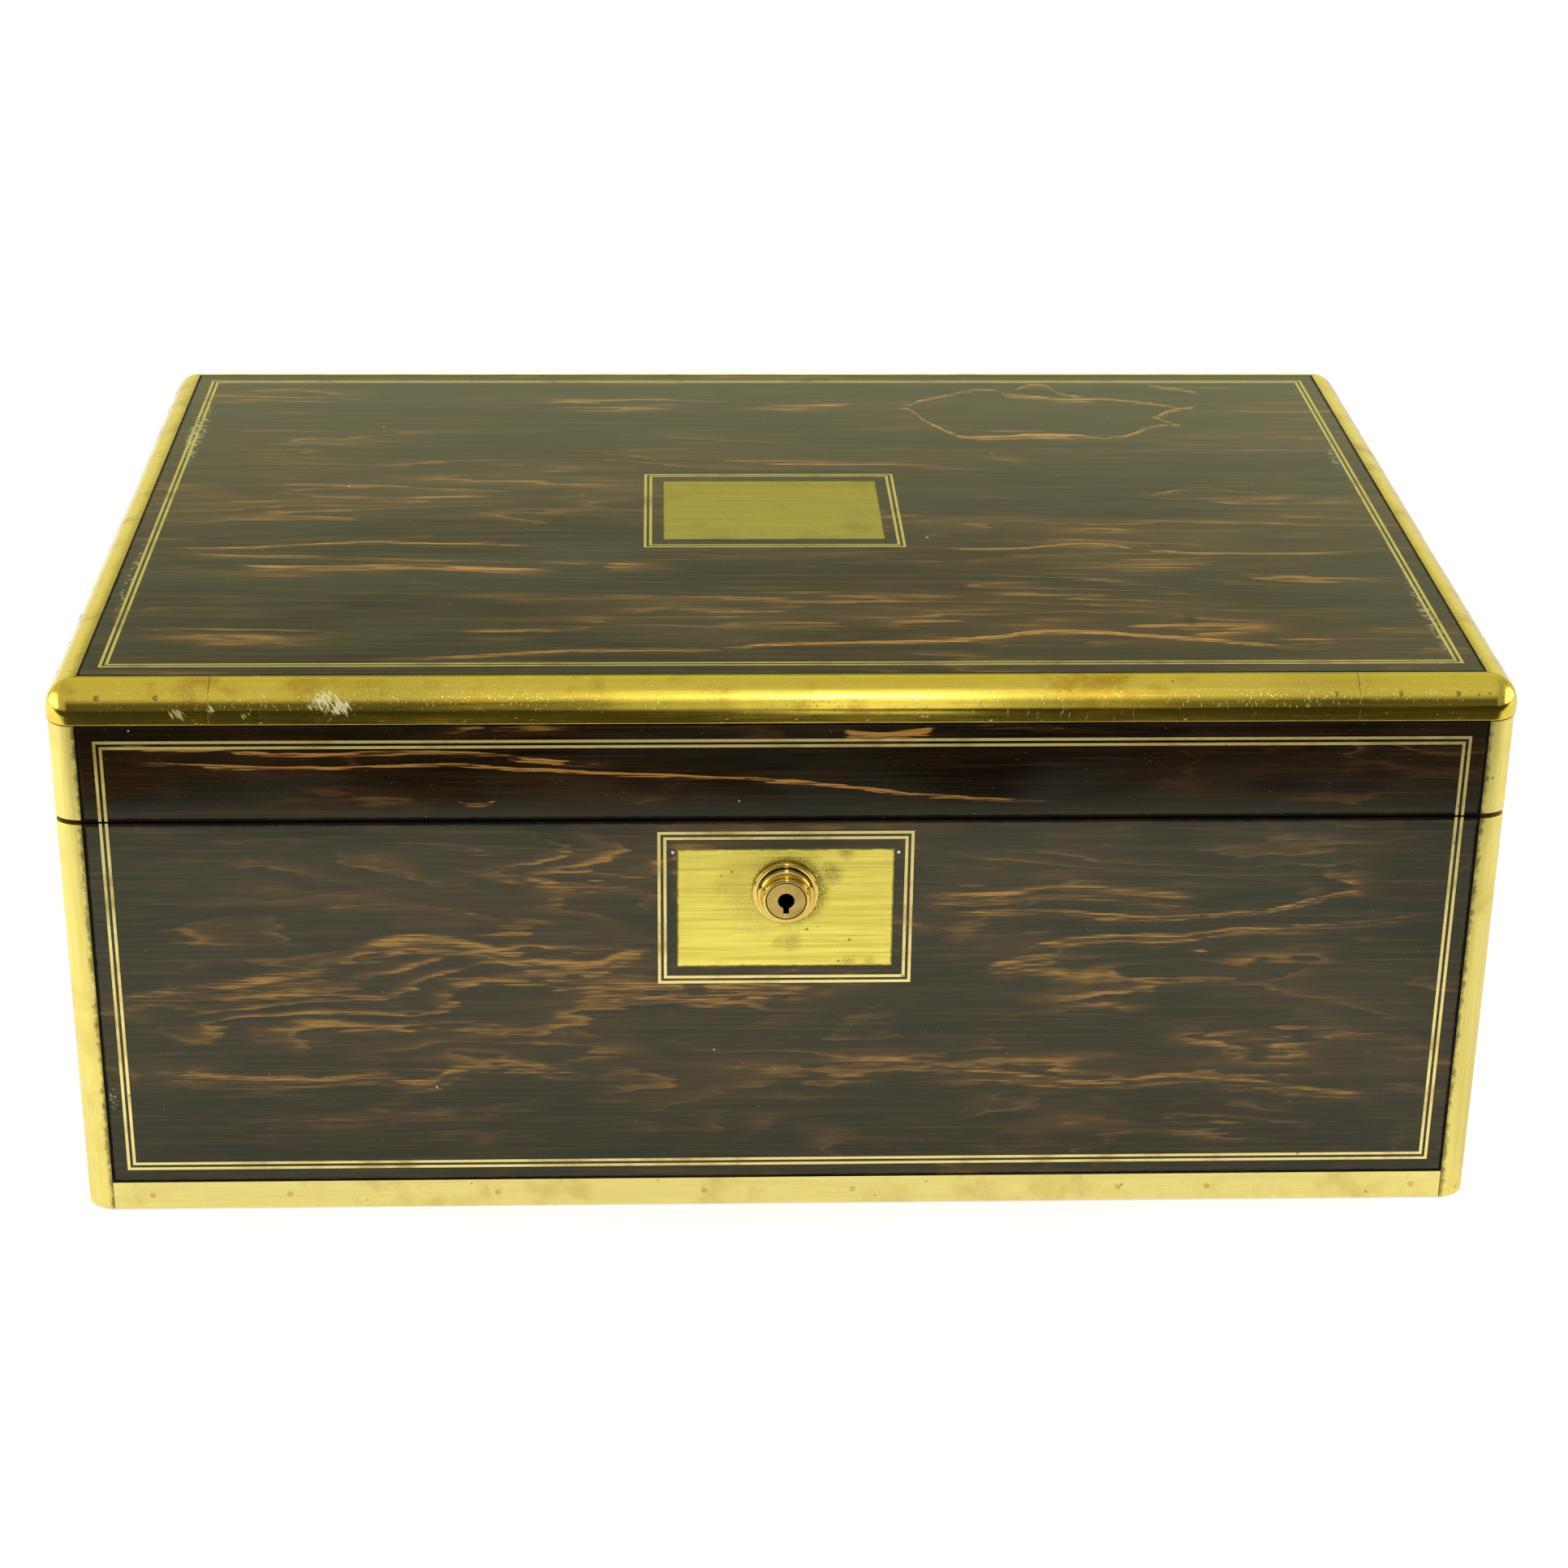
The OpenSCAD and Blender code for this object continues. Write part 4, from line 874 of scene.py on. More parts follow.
@dataclass(frozen=True)
class LeatherFinish:
    """Dyed leather, with gilt tooling near the edge where it has a size."""

    name: str
    size: Place | None = None  # width and length of the panel in millimetres, or none for plain leather
    dye: Colour = tone(108, 24, 24)
    deep: Colour = tone(60, 11, 13)
    rubbed: Colour = tone(146, 60, 48)
    gilt: Colour = tone(226, 184, 98)
    # place in from the edge and half width of each gilt line, in millimetres
    bands: tuple[Place, ...] = ((5.2, 0.15), (7.0, 0.55), (15.4, 0.3), (16.8, 0.12))
    stem_in: float = 11.2  # place in from the edge of the running stem
    pitch: float = 9.0  # length of one wave of the stem
    swell: float = 1.3  # half height of the stem's waves
    leaf: Place = (1.7, 0.75)  # half length and half width of a leaf

    def build(self) -> bpy.types.Material:
        """Builds grained leather, and presses gilt bands into it.

        Returns:
            The material.
        """
        paint = Paint(self.name)
        place = paint.wire("UVMap", uv_map=PANEL_MAP)
        grain = LeatherGrain().place(paint, Place=place)
        colour = grain["Wear"].step(0.35, 0.72).mix(self.dye, self.deep)
        colour = (grain["Crease"].step(0.58, 0.75) * 0.4).mix(colour, self.rubbed)
        rough = grain["Wear"].step(0.3, 0.8, 0.42, 0.58)
        height = grain["Pebble"] * 0.6 + grain["Crease"] * 0.8
        gold: object = 0.0
        if self.size is not None:
            tooled = self.tooling(place)
            gold = tooled * grain["Wear"].step(0.3, 0.5, 0.3)
            colour = gold.mix(colour, self.gilt)
            rough = rough - gold * 0.18
            height = height - tooled * 1.4
        return paint.set(Base_Color=colour, Roughness=rough, Metallic=gold,
                         Normal=height.relief(0.4, 0.00012))

    def tooling(self, place: Wire) -> Wire:
        """Mask of the gilt: fine and broad lines with a running leaf between them.

        The distance to the panel's edge picks the lines. Between them a wave along the edge
        makes the stem, and a dot on either side of it in turn makes the leaves.
        """
        along, across, _ = place.parts()
        side = self.size[0] * MM / 2 - abs(along)
        end = self.size[1] * MM / 2 - abs(across)
        edge = side.math("MINIMUM", end)
        lines = [abs(edge - place_in * MM).fall(half * MM, (half + 0.12) * MM) for place_in, half in self.bands]
        pitch = self.pitch * MM
        run = place.graph.wire("Mix", {0: side.below(end), 2: along, 3: across})
        middle = edge - self.stem_in * MM
        wave = (run * (2 * math.pi / pitch)).math("SINE") * (self.swell * MM)
        stem = abs(middle - wave).fall(0.2 * MM, 0.4 * MM)
        turn = (run * (1 / pitch) + 0.25).math("FRACT")
        leaves = []
        for phase, rise in ((0.5, 1.35), (1.0, -1.35), (0.0, -1.35)):
            u, v = (turn - phase) * pitch, middle - rise * MM
            shape = place.graph.join(u * (1 / (self.leaf[0] * MM)), v * (1 / (self.leaf[1] * MM)))
            leaves.append(shape.length().fall(0.8, 1.0))
        return either(*lines, stem, *leaves)


@dataclass(frozen=True)
class BaizeFinish:
    """Green wool baize with a short nap."""

    name: str
    dye: Colour = tone(36, 70, 42)
    faded: Colour = tone(66, 94, 60)
    tips: Colour = tone(92, 118, 80)
    sheen: Colour = tone(150, 170, 130)

    def build(self) -> bpy.types.Material:
        """Builds the nap from fine noise and the fading from a cloud.

        Returns:
            The material.
        """
        paint = Paint(self.name)
        place = paint.object_place()
        nap = place.noise(2600.0, detail=3, rough=0.8)
        colour = place.noise(18.0, detail=4, rough=0.6).step(0.35, 0.7).mix(self.dye, self.faded)
        colour = nap.step(0.55, 0.75).mix(colour, self.tips)
        return paint.set(Base_Color=colour, Roughness=nap.step(0.2, 0.8, 0.86, 0.98),
                         Normal=nap.relief(0.6, 0.0003), Sheen_Weight=0.4, Sheen_Roughness=0.5,
                         Sheen_Tint=self.sheen)


@dataclass(frozen=True)
class GlassFinish:
    """Clear moulded glass with faint waves and a film of dust."""

    name: str
    clean: Colour = tone(236, 244, 240)
    dusty: Colour = tone(200, 214, 212)

    def build(self) -> bpy.types.Material:
        """Builds the glass, its waves and its film.

        Returns:
            The material.
        """
        paint = Paint(self.name)
        place = paint.object_place()
        film = place.noise(160.0, detail=4, rough=0.7)
        return paint.set(Base_Color=film.step(0.45, 0.8).mix(self.clean, self.dusty),
                         Roughness=film.step(0.4, 0.8, 0.02, 0.12), Metallic=0.0, Transmission_Weight=1.0,
                         IOR=1.5, Normal=place.noise(70.0).relief(0.2, 0.0004))


# ---------------------------------------------------------------- shapes


Finish = VeneerFinish | BrassFinish | TimberFinish | LeatherFinish | BaizeFinish | GlassFinish
HALF_W, HALF_D, TOP = 203.0, 143.0, 165.0  # half width, half depth and height of the box
SIDES = ((-1, -1), (1, -1), (1, 1), (-1, 1))
QUARTER_TURN = np.array([[0, 1, 0], [-1, 0, 0], [0, 0, 1]])
HALF_TURN = np.diag([-1, -1, 1])
MERGE, SLIVER = 1e-6, 1e-7  # lengths under which points are merged and faces dropped, in metres


@dataclass
class Shape:
    """A closed surface: its points in millimetres, its four-sided faces and its end faces."""

    points: np.ndarray
    quads: np.ndarray
    caps: list[np.ndarray] = field(default_factory=list)

    def outward(self) -> "Shape":
        """Turns all faces outwards, by the sign of the volume that they enclose."""
        corner = self.points[self.quads]
        volume = sum(triple(corner[:, 0], corner[:, k], corner[:, k + 1]) for k in (1, 2))
        for edge in (self.points[cap] for cap in self.caps):
            volume += triple(edge[:1], edge[1:-1], edge[2:])
        if volume < 0:
            return Shape(self.points, self.quads[:, ::-1], [cap[::-1] for cap in self.caps])
        return self

    def moved(self, by: Sequence[float]) -> "Shape":
        """The shape shifted."""
        return Shape(self.points + np.asarray(by, float), self.quads, self.caps)

    def turned(self, axes: np.ndarray) -> "Shape":
        """The shape with its X, Y and Z laid along the rows of axes, and turned outwards again."""
        return Shape(self.points @ np.asarray(axes, float), self.quads, self.caps).outward()

    @staticmethod
    def joined(shapes: Sequence["Shape"]) -> "Shape":
        """Several shapes as one."""
        starts = np.cumsum([0] + [len(shape.points) for shape in shapes])
        quads = np.concatenate([shape.quads + start for shape, start in zip(shapes, starts)])
        caps = [cap + start for shape, start in zip(shapes, starts) for cap in shape.caps]
        return Shape(np.concatenate([shape.points for shape in shapes]), quads, caps)


def triple(a: np.ndarray, b: np.ndarray, c: np.ndarray) -> float:
    """Sum of the triple products of rows, six times the volume that triangles enclose."""
    return float(np.sum(a * np.cross(b, c)))


def grid_quads(rows: int, columns: int, round_rows: bool = False, round_columns: bool = False) -> np.ndarray:
    """Faces of a grid of points that is numbered row by row.

    Args:
        rows: number of rows.
        columns: number of points in a row.
        round_rows: joins the last row to the first.
        round_columns: joins the last column to the first.

    Returns:
        One row of four point numbers for each face.
    """
    row = np.arange(rows if round_rows else rows - 1)
    column = np.arange(columns if round_columns else columns - 1)
    r, c = (part.ravel() for part in np.meshgrid(row, column, indexing="ij"))
    r2, c2 = (r + 1) % rows, (c + 1) % columns
    return np.stack([r * columns + c, r2 * columns + c, r2 * columns + c2, r * columns + c2], 1)


def loft(rings: np.ndarray) -> Shape:
    """Skin through closed rings of points, closed at both ends by one face.

    Args:
        rings: points with one row of places for each ring.

    Returns:
        The closed surface.
    """
    count, around, _ = rings.shape
    caps = [np.arange(around), (np.arange(around) + (count - 1) * around)[::-1]]
    return Shape(rings.reshape(-1, 3), grid_quads(count, around, round_columns=True), caps).outward()


def lathe(profile: Sequence[Place], steps: int, ring: bool = False) -> Shape:
    """Surface turned round Z: each point of the profile goes round at its radius and height.

    Args:
        profile: radius and height of each point.
        steps: points in a turn.
        ring: the profile is closed, as on a tube; otherwise both ends are closed by a disc.

    Returns:
        The closed surface.
    """
    radius, height = np.asarray(profile, float).T
    turn = np.arange(steps) * 2 * math.pi / steps
    places = np.stack([np.outer(radius, np.cos(turn)), np.outer(radius, np.sin(turn)),
                       np.repeat(height[:, None], steps, 1)], 2)
    if not ring:
        return loft(places)
    return Shape(places.reshape(-1, 3), grid_quads(len(profile), steps, True, True)).outward()


def slab(x: np.ndarray, y: np.ndarray, top: np.ndarray, bottom: np.ndarray,
         kept: np.ndarray | None = None) -> Shape:
    """Closed plate between two height maps over one grid.

    The top and bottom faces share their plan. Walls stand on the edges that only one kept face has.

    Args:
        x: places along X of the grid's points, in rows.
        y: places along Y of the grid's points.
        top: heights of the top.
        bottom: heights of the bottom.
        kept: which faces of the grid exist, all if none.

    Returns:
        The closed surface.
    """
    rows, columns = x.shape
    over = np.stack([x, y, top], 2).reshape(-1, 3)
    under = np.stack([x, y, bottom], 2).reshape(-1, 3)
    face = grid_quads(rows, columns)
    if kept is not None:
        face = face[kept.ravel()]
    edges = np.concatenate([face[:, [k, (k + 1) % 4]] for k in range(4)])
    code = edges[:, 0] * rows * columns + edges[:, 1]
    back = edges[:, 1] * rows * columns + edges[:, 0]
    rim = edges[~np.isin(code, back)]
    count = rows * columns
    walls = np.stack([rim[:, 1], rim[:, 0], rim[:, 0] + count, rim[:, 1] + count], 1)
    return Shape(np.concatenate([over, under]), np.concatenate([face, face[:, ::-1] + count, walls])).outward()


def pin_head(radius: float, rise: float, sunk: float, steps: int = 12) -> Shape:
    """Low dome of a round pin: the height falls with the square of the radius."""
    share = np.array([0.12, 0.5, 0.8, 1.0])
    profile = [(radius * s, rise * (1 - s * s)) for s in share] + [(radius, -sunk), (0.2 * radius, -sunk)]
    return lathe(profile, steps)


def screw_head(radius: float, slot: float, deep: float, rise: float = 0.12) -> Shape:
    """Slotted countersunk head: a low dome cut by a slot along Y.

    The columns are chords of the disc, doubled at the slot's sides, and the rows share each chord.

    Args:
        radius: radius of the head.
        slot: width of the slot.
        deep: depth of the slot.
        rise: height of the dome.

    Returns:
        The closed surface, with its flat level at 0.
    """
    side = radius * np.sin(np.linspace(math.asin(slot / 2 / radius), math.pi / 2, 5))
    column = np.concatenate([-side[::-1], [-slot / 2, slot / 2], side])
    row = np.array([-1.0, -0.4, 0.4, 1.0])
    x = np.repeat(column[None, :], len(row), 0)
    y = row[:, None] * np.sqrt(np.maximum(radius**2 - column**2, 0))[None, :]
    top = rise * (1 - (x**2 + y**2) / radius**2)
    middle = len(side)
    top[:, middle:middle + 2] = -deep
    return slab(x, y, top, np.full_like(x, -deep - 0.3))


def spread(shape: Shape, places: Sequence[Vec], axes: Sequence[np.ndarray]) -> Shape:
    """Copies of a shape, each turned by its axes and put at its place."""
    return Shape.joined([shape.turned(axis).moved(place) for place, axis in zip(places, axes, strict=True)])


def facing(normal: Sequence[float], turn: float = 0.0) -> np.ndarray:
    """Axes whose Z is the given normal, turned about it by an angle."""
    z = np.asarray(normal, float) / np.linalg.norm(normal)
    x = np.cross((0.0, 0.0, 1.0) if abs(z[2]) < 0.9 else (0.0, 1.0, 0.0), z)
    x /= np.linalg.norm(x)
    y = np.cross(z, x)
    return np.stack([math.cos(turn) * x + math.sin(turn) * y, math.cos(turn) * y - math.sin(turn) * x, z])


def all_round(front: Shape, side: Shape) -> Shape:
    """A front strip and a side strip, each drawn along X on the -Y side, set on all four sides."""
    side = side.turned(QUARTER_TURN)
    return Shape.joined([front, front.turned(HALF_TURN), side, side.turned(HALF_TURN)])


def edges_in(half: float, edge: float, steps: int) -> np.ndarray:
    """Places from minus half to half with two close ones at each end."""
    return np.concatenate([[-half, -half + 0.4 * edge], np.linspace(-half + edge, half - edge, steps),
                           [half - 0.4 * edge, half]])


@cache
def made_of(finish: Finish) -> bpy.types.Material:
    """The material of a finish, built at its first use."""
    return finish.build()


def put_piece(name: str, shape: Shape, finish: Finish, body: str,
              replaces: Sequence[str] = (), bevel: float = 0.0, crease: float = 35.0,
              chart: np.ndarray | None = None) -> bpy.types.Object:
    """Makes a piece of a shape, at the origin, and hands it to the frame.

    Args:
        name: the piece's name.
        shape: its surface in millimetres.
        finish: its finish.
        body: the body that it moves with.
        replaces: CAD nodes that it stands for.
        bevel: width of its rounded edges in millimetres, or 0.
        crease: angle above which an edge is sharp, in degrees.
        chart: place of each point on a flat sheet, in metres, or none.

    Returns:
        The object.
    """
    mesh = bpy.data.meshes.new(name)
    faces = shape.quads.tolist() + [cap.tolist() for cap in shape.caps]
    mesh.from_pydata((shape.points * MM).tolist(), [], faces)
    if chart is not None:
        corners = np.zeros(len(mesh.loops), np.int32)
        mesh.loops.foreach_get("vertex_index", corners)
        mesh.uv_layers.new(name=PANEL_MAP).uv.foreach_set("vector", chart[corners].astype(np.float32).ravel())
    work = bmesh.new()
    work.from_mesh(mesh)
    bmesh.ops.remove_doubles(work, verts=work.verts, dist=MERGE)
    bmesh.ops.dissolve_degenerate(work, edges=work.edges, dist=SLIVER)
    work.to_mesh(mesh)
    work.free()
    mesh.polygons.foreach_set("use_smooth", np.ones(len(mesh.polygons), bool))
    mesh.set_sharp_from_angle(angle=math.radians(crease))
    mesh.materials.append(made_of(finish))
    made = bpy.data.objects.new(name, mesh)
    bpy.context.scene.collection.objects.link(made)
    if bevel:
        rounding = made.modifiers.new("edges", "BEVEL")
        rounding.width, rounding.segments = bevel * MM, 2
        rounding.limit_method, rounding.angle_limit = "ANGLE", math.radians(crease)
        rounding.harden_normals = True
    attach(made, body)
    if replaces:
        dress(replaces, finish)
        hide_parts(*replaces)
    LOG.info("made %s on %s", name, body)
    return made


def dress(nodes: Sequence[str], finish: Finish) -> None:
    """Gives CAD nodes a finish.

    Args:
        nodes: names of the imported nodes.
        finish: the finish.
    """
    for name in nodes:
        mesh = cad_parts[name].data
        mesh.materials.clear()
        mesh.materials.append(made_of(finish))
        LOG.info("dressed %s in %s", name, finish.name)


@dataclass(frozen=True)
class Seam:
    """The sloping seam between base and lid, in millimetres."""

    axis_y: float = 143.8  # place of the lid's hinge axis
    axis_z: float = 82.5  # height of the lid's hinge axis
    front_y: float = -143.0  # place of the lock face
    front_z: float = 124.7  # height of the seam on the lock face

    @property
    def slope(self) -> float:
        """Tilt of the seam in radians."""
        return math.atan((self.front_z - self.axis_z) / (self.axis_y - self.front_y))

    def height(self, y: np.ndarray) -> np.ndarray:
        """Height of the seam's middle over a place along Y."""
        return self.axis_z + (self.axis_y - y) * math.tan(self.slope)

    @property
    def axes(self) -> np.ndarray:
        """X, the way up the slope and the seam's normal, as rows."""
        cos, sin = math.cos(self.slope), math.sin(self.slope)
        return np.array([[1, 0, 0], [0, -cos, sin], [0, sin, cos]])

    def point(self, x: float, up: float, rise: float) -> Vec:
        """Place of a point given along X, up the slope from the axis and above the seam."""
        place = np.array([x, up, rise]) @ self.axes + (0, self.axis_y, self.axis_z)
        return (float(place[0]), float(place[1]), float(place[2]))

    def laid(self, shape: Shape) -> Shape:
        """A shape drawn as X, up the slope and above the seam, put in its place."""
        return shape.turned(self.axes).moved((0, self.axis_y, self.axis_z))


SEAM = Seam()


# ---------------------------------------------------------------- finishes of the pieces


RIM_SCUFFS = (
    Scuff((-126.5, -142.4, 160.4), 3.8), Scuff((-122.5, -142.8, 159.2), 3.0),
    Scuff((-157, -143.2, 158.5), 1.5, 0.6), Scuff((-148, -143.3, 157), 1.2, 0.5),
    Scuff((-166, -143.3, 157.5), 2.0, 0.4))
LOCK_PLATE_SOILS = (
    Soil((1, -143, 102.6), 9.0, 12.4, 1.0), Soil((-4, -143, 104), 8, 18, 0.3),
    Soil((12.6, -143, 108), 0.6, 5.0, 0.8), Soil((1.8, -143, 86.4), 0.8, 4.4, 0.5),
    Soil((-1.5, -143, 86.2), 0.6, 3.0, 0.4), Soil((18, -143, 79.6), 0.2, 3.0, 0.6),
    Soil((24, -143, 79.8), 0.1, 2.4, 0.6), Soil((17, -143, 114.4), 0.2, 3.4, 0.7),
    Soil((-17, -143, 104), 0.4, 5.0, 0.3))
RIM_BRASS = BrassFinish(
    "rim_brass", tone(232, 206, 80), tone(186, 140, 38), 0.11, brush=0.45, tarnish=0.75, spots=0.07,
    scratches=1.6, dents=0.12, scuffs=RIM_SCUFFS,
    soils=(Soil((-112, -143.4, 156.5), 4, 34, 0.3), Soil((150, -143.4, 157), 4, 30, 0.3)))
POST_BRASS = BrassFinish(
    "post_brass", tone(242, 226, 128), tone(206, 170, 62), 0.36, Grain.UPRIGHT, brush=0.7, tarnish=0.4,
    dents=0.05, posts=(194.65, 134.65))
FOOT_BRASS = BrassFinish(
    "foot_brass", tone(244, 228, 138), tone(200, 170, 80), 0.34, brush=0.5, spots=0.07, dents=0.05)
PIN_BRASS = BrassFinish("pin_brass", tone(168, 142, 62), tone(92, 68, 28), 0.22, spots=0.0)
# Painted highlight: the lock plate's pins are coloured near white, to stand for glints on them.
GLINT_PIN_BRASS = replace(PIN_BRASS, name="pale_pin_brass", colour=tone(250, 246, 226),
                         dull=tone(214, 204, 176), gloss=0.35)
FOOT_PIN_BRASS = replace(PIN_BRASS, name="foot_pin_brass", colour=tone(222, 190, 96),
                         dull=tone(168, 128, 56))
LINE_BRASS = BrassFinish(
    "line_brass", tone(240, 222, 140), tone(180, 150, 76), 0.3, brush=0.3, tarnish=0.8, spots=0.12)
LOCK_PLATE_BRASS = BrassFinish(
    "lock_plate_brass", tone(254, 238, 112), tone(186, 154, 50), 0.36, Grain.FRONT, brush=1.0,
    tarnish=0.3, spots=0.06, scratches=0.15, soils=LOCK_PLATE_SOILS, panel=((0, 97.1), (30.5, 18.5)))
NAME_PLATE_BRASS = BrassFinish(
    "name_plate_brass", tone(204, 188, 90), tone(156, 138, 60), 0.42, brush=0.8, tarnish=0.45,
    panel=((0, -2.5), (34, 26.5)))
# The nozzle's and barrel's rings, and the barrel's near-black part inside the bore, are painted shade.
NOZZLE_BRASS = BrassFinish(
    "turned_brass", tone(228, 198, 104), tone(164, 126, 46), 0.07, brush=0.1, tarnish=0.4, spots=0.03,
    scratches=0.3, rings=(5.75, 7.95))
BARREL_BRASS = BrassFinish(
    "barrel_brass", tone(198, 170, 92), tone(140, 108, 46), 0.26, tarnish=0.6, scratches=0.8,
    inner=-148.9, rings=(5.5,))
FITTING_BRASS = BrassFinish(
    "cast_brass", tone(220, 192, 104), tone(150, 118, 52), 0.3, brush=0.6, tarnish=0.6)
SCREW_BRASS = BrassFinish("screw_brass", tone(206, 172, 92), tone(140, 102, 46), 0.28, spots=0.0)
CAP_BRASS = BrassFinish("bottle_cap_brass", tone(230, 204, 116), tone(168, 134, 62), 0.2, brush=0.3)
LOCK_IRON = BrassFinish(
    "lock_steel", tone(150, 142, 130), tone(96, 80, 62), 0.34, brush=0.8, tarnish=0.8, spots=0.12)
MAHOGANY = TimberFinish("box_mahogany", tone(112, 62, 38), tone(74, 38, 24))
MAHOGANY_SIDE = replace(MAHOGANY, name="box_mahogany_side", grain=Grain.SIDE)
PINE = TimberFinish("aged_pine", tone(176, 134, 86), tone(138, 96, 56), gloss=0.55, bands=90.0)
FLAP_WOOD = TimberFinish("flap_mahogany", tone(96, 48, 30), tone(58, 28, 20), gloss=0.25, bands=170.0)
FITTED_WOOD = TimberFinish("tray_mahogany", tone(104, 56, 34), tone(66, 34, 22), gloss=0.3, bands=180.0)
FITTED_SIDE = replace(FITTED_WOOD, name="tray_mahogany_side", grain=Grain.SIDE)

# Figure of the veneers, in millimetres along and across each face's grain.
TOP_STREAKS = (
    Streak((-130, -124, -100, -122, -75, -119, -50, -117, -20, -116, 0, -112, 30, -111, 60, -108, 80, -104,
        100, -107, 130, -113, 150, -118, 165, -121), 1.5, 1.5),
    Streak((-192, -31, -165, -35, -145, -34, -120, -31, -100, -32, -60, -34), 1.0, 1.1),
    Streak((40, -34, 55, -37, 70, -37, 95, -33, 110, -38, 140, -42, 160, -42, 190, -33), 1.0, 1.1),
    Streak((-165, -48, -150, -52, -130, -52, -110, -50, -90, -53, -60, -55), 3.0, 1.7),
    Streak((-185, -40, -150, -43, -100, -46, -40, -48), 1.4, 1.0),
    Streak((-190, -98, -165, -104, -150, -108, -130, -107, -110, -105), 0.8, 0.5),
    Streak((-190, -104, -165, -110, -150, -113, -130, -111, -112, -108), 0.7, 0.5),
    Streak((-100, -96, -50, -93, 0, -92, 50, -91), 0.6, 0.4),
    Streak((-50, -45, -30, -46, 10, -44), 1.2, 0.5),
    Streak((5, 38, 30, 41, 60, 42, 80, 50), 1.0, 0.4),
    Streak((38, 98, 46.5, 99, 54, 105.8, 62, 111, 71.4, 116, 78, 117.3, 84, 113.6, 89, 111, 96.5, 109.5,
        104, 106.2, 109, 105.4, 114, 107.8, 123, 105.4, 131.5, 103, 138.7, 99.7, 144, 97.3,
        153, 97), 1.3, 1.35),
    Streak((81, 114, 92, 111, 104, 107, 118, 107), 2.8, 1.3),
    Streak((86, 112.7, 90, 119.4, 94, 122.7, 99, 122.7, 101.5, 116, 106, 112, 113, 109.4), 1.5, 1.5),
    Streak((38, 99.5, 46.5, 98.5, 51.2, 93.7, 54, 85.8, 58, 78, 62.6, 71.4, 67.3, 67.6, 74.7, 67.6,
        82, 68.3, 87.4, 70.6, 94.3, 66.4, 102, 69.8, 109.3, 67.5, 116.8, 67.5, 123.6, 72, 130.6, 78,
        136.5, 80, 145, 83), 1.3, 1.35),
    Streak((66, 66.5, 82, 68, 90, 69.5, 106, 66), 3.2, 1.3),
    Streak((131, 86, 133.5, 89, 138.6, 95, 144, 97.3, 149, 98), 1.5, 1.3),
    Streak((130.5, 90, 133, 87.5, 136, 83, 141, 78), 1.5, 1.2),
    Streak((133, 123.5, 138, 121, 146, 117.7, 153, 111), 2.0, 1.4),
    Streak((115, 3, 126, 12.8, 139, 16.2, 149, 14, 162, 10), 0.9, 0.9),
)
TOP_GATHERS = gathered(
    (-50, 103, 30, 12, 1.6), (-120, -55, 60, 14, 1.5), (-60, -52, 40, 8, 1.0), (-100, -80, 50, 12, 0.6),
    (75, -66, 30, 8, 1.2), (155, -64, 40, 8, 1.2), (150, 122, 25, 6, 1.2), (-150, -106, 34, 12, 1.1),
    (-78, -104, 16, 12, 1.4), (150, 5, 50, 12, 0.7), (-110, 12, 30, 6, 0.8), (100, 122, 30, 7, 1.4),
    (100, 70, 34, 7, 1.2), (-160, 110, 30, 14, 0.8), (14, 96, 30, 12, 1.2), (54, 52, 34, 5, 1.2),
    (24, 43, 44, 5, 1.0))
TOP_WORN = gathered(
    (-187.6, 72, 3.4, 36, 1.2), (-190.2, -60, 1.8, 40, 0.6), (187, -92, 2.6, 36, 0.8),
    (185.6, 46, 1.6, 14, 0.7))
TOP_STAINS = gathered(
    (117.4, -95, 3.5, 6, 0.8))
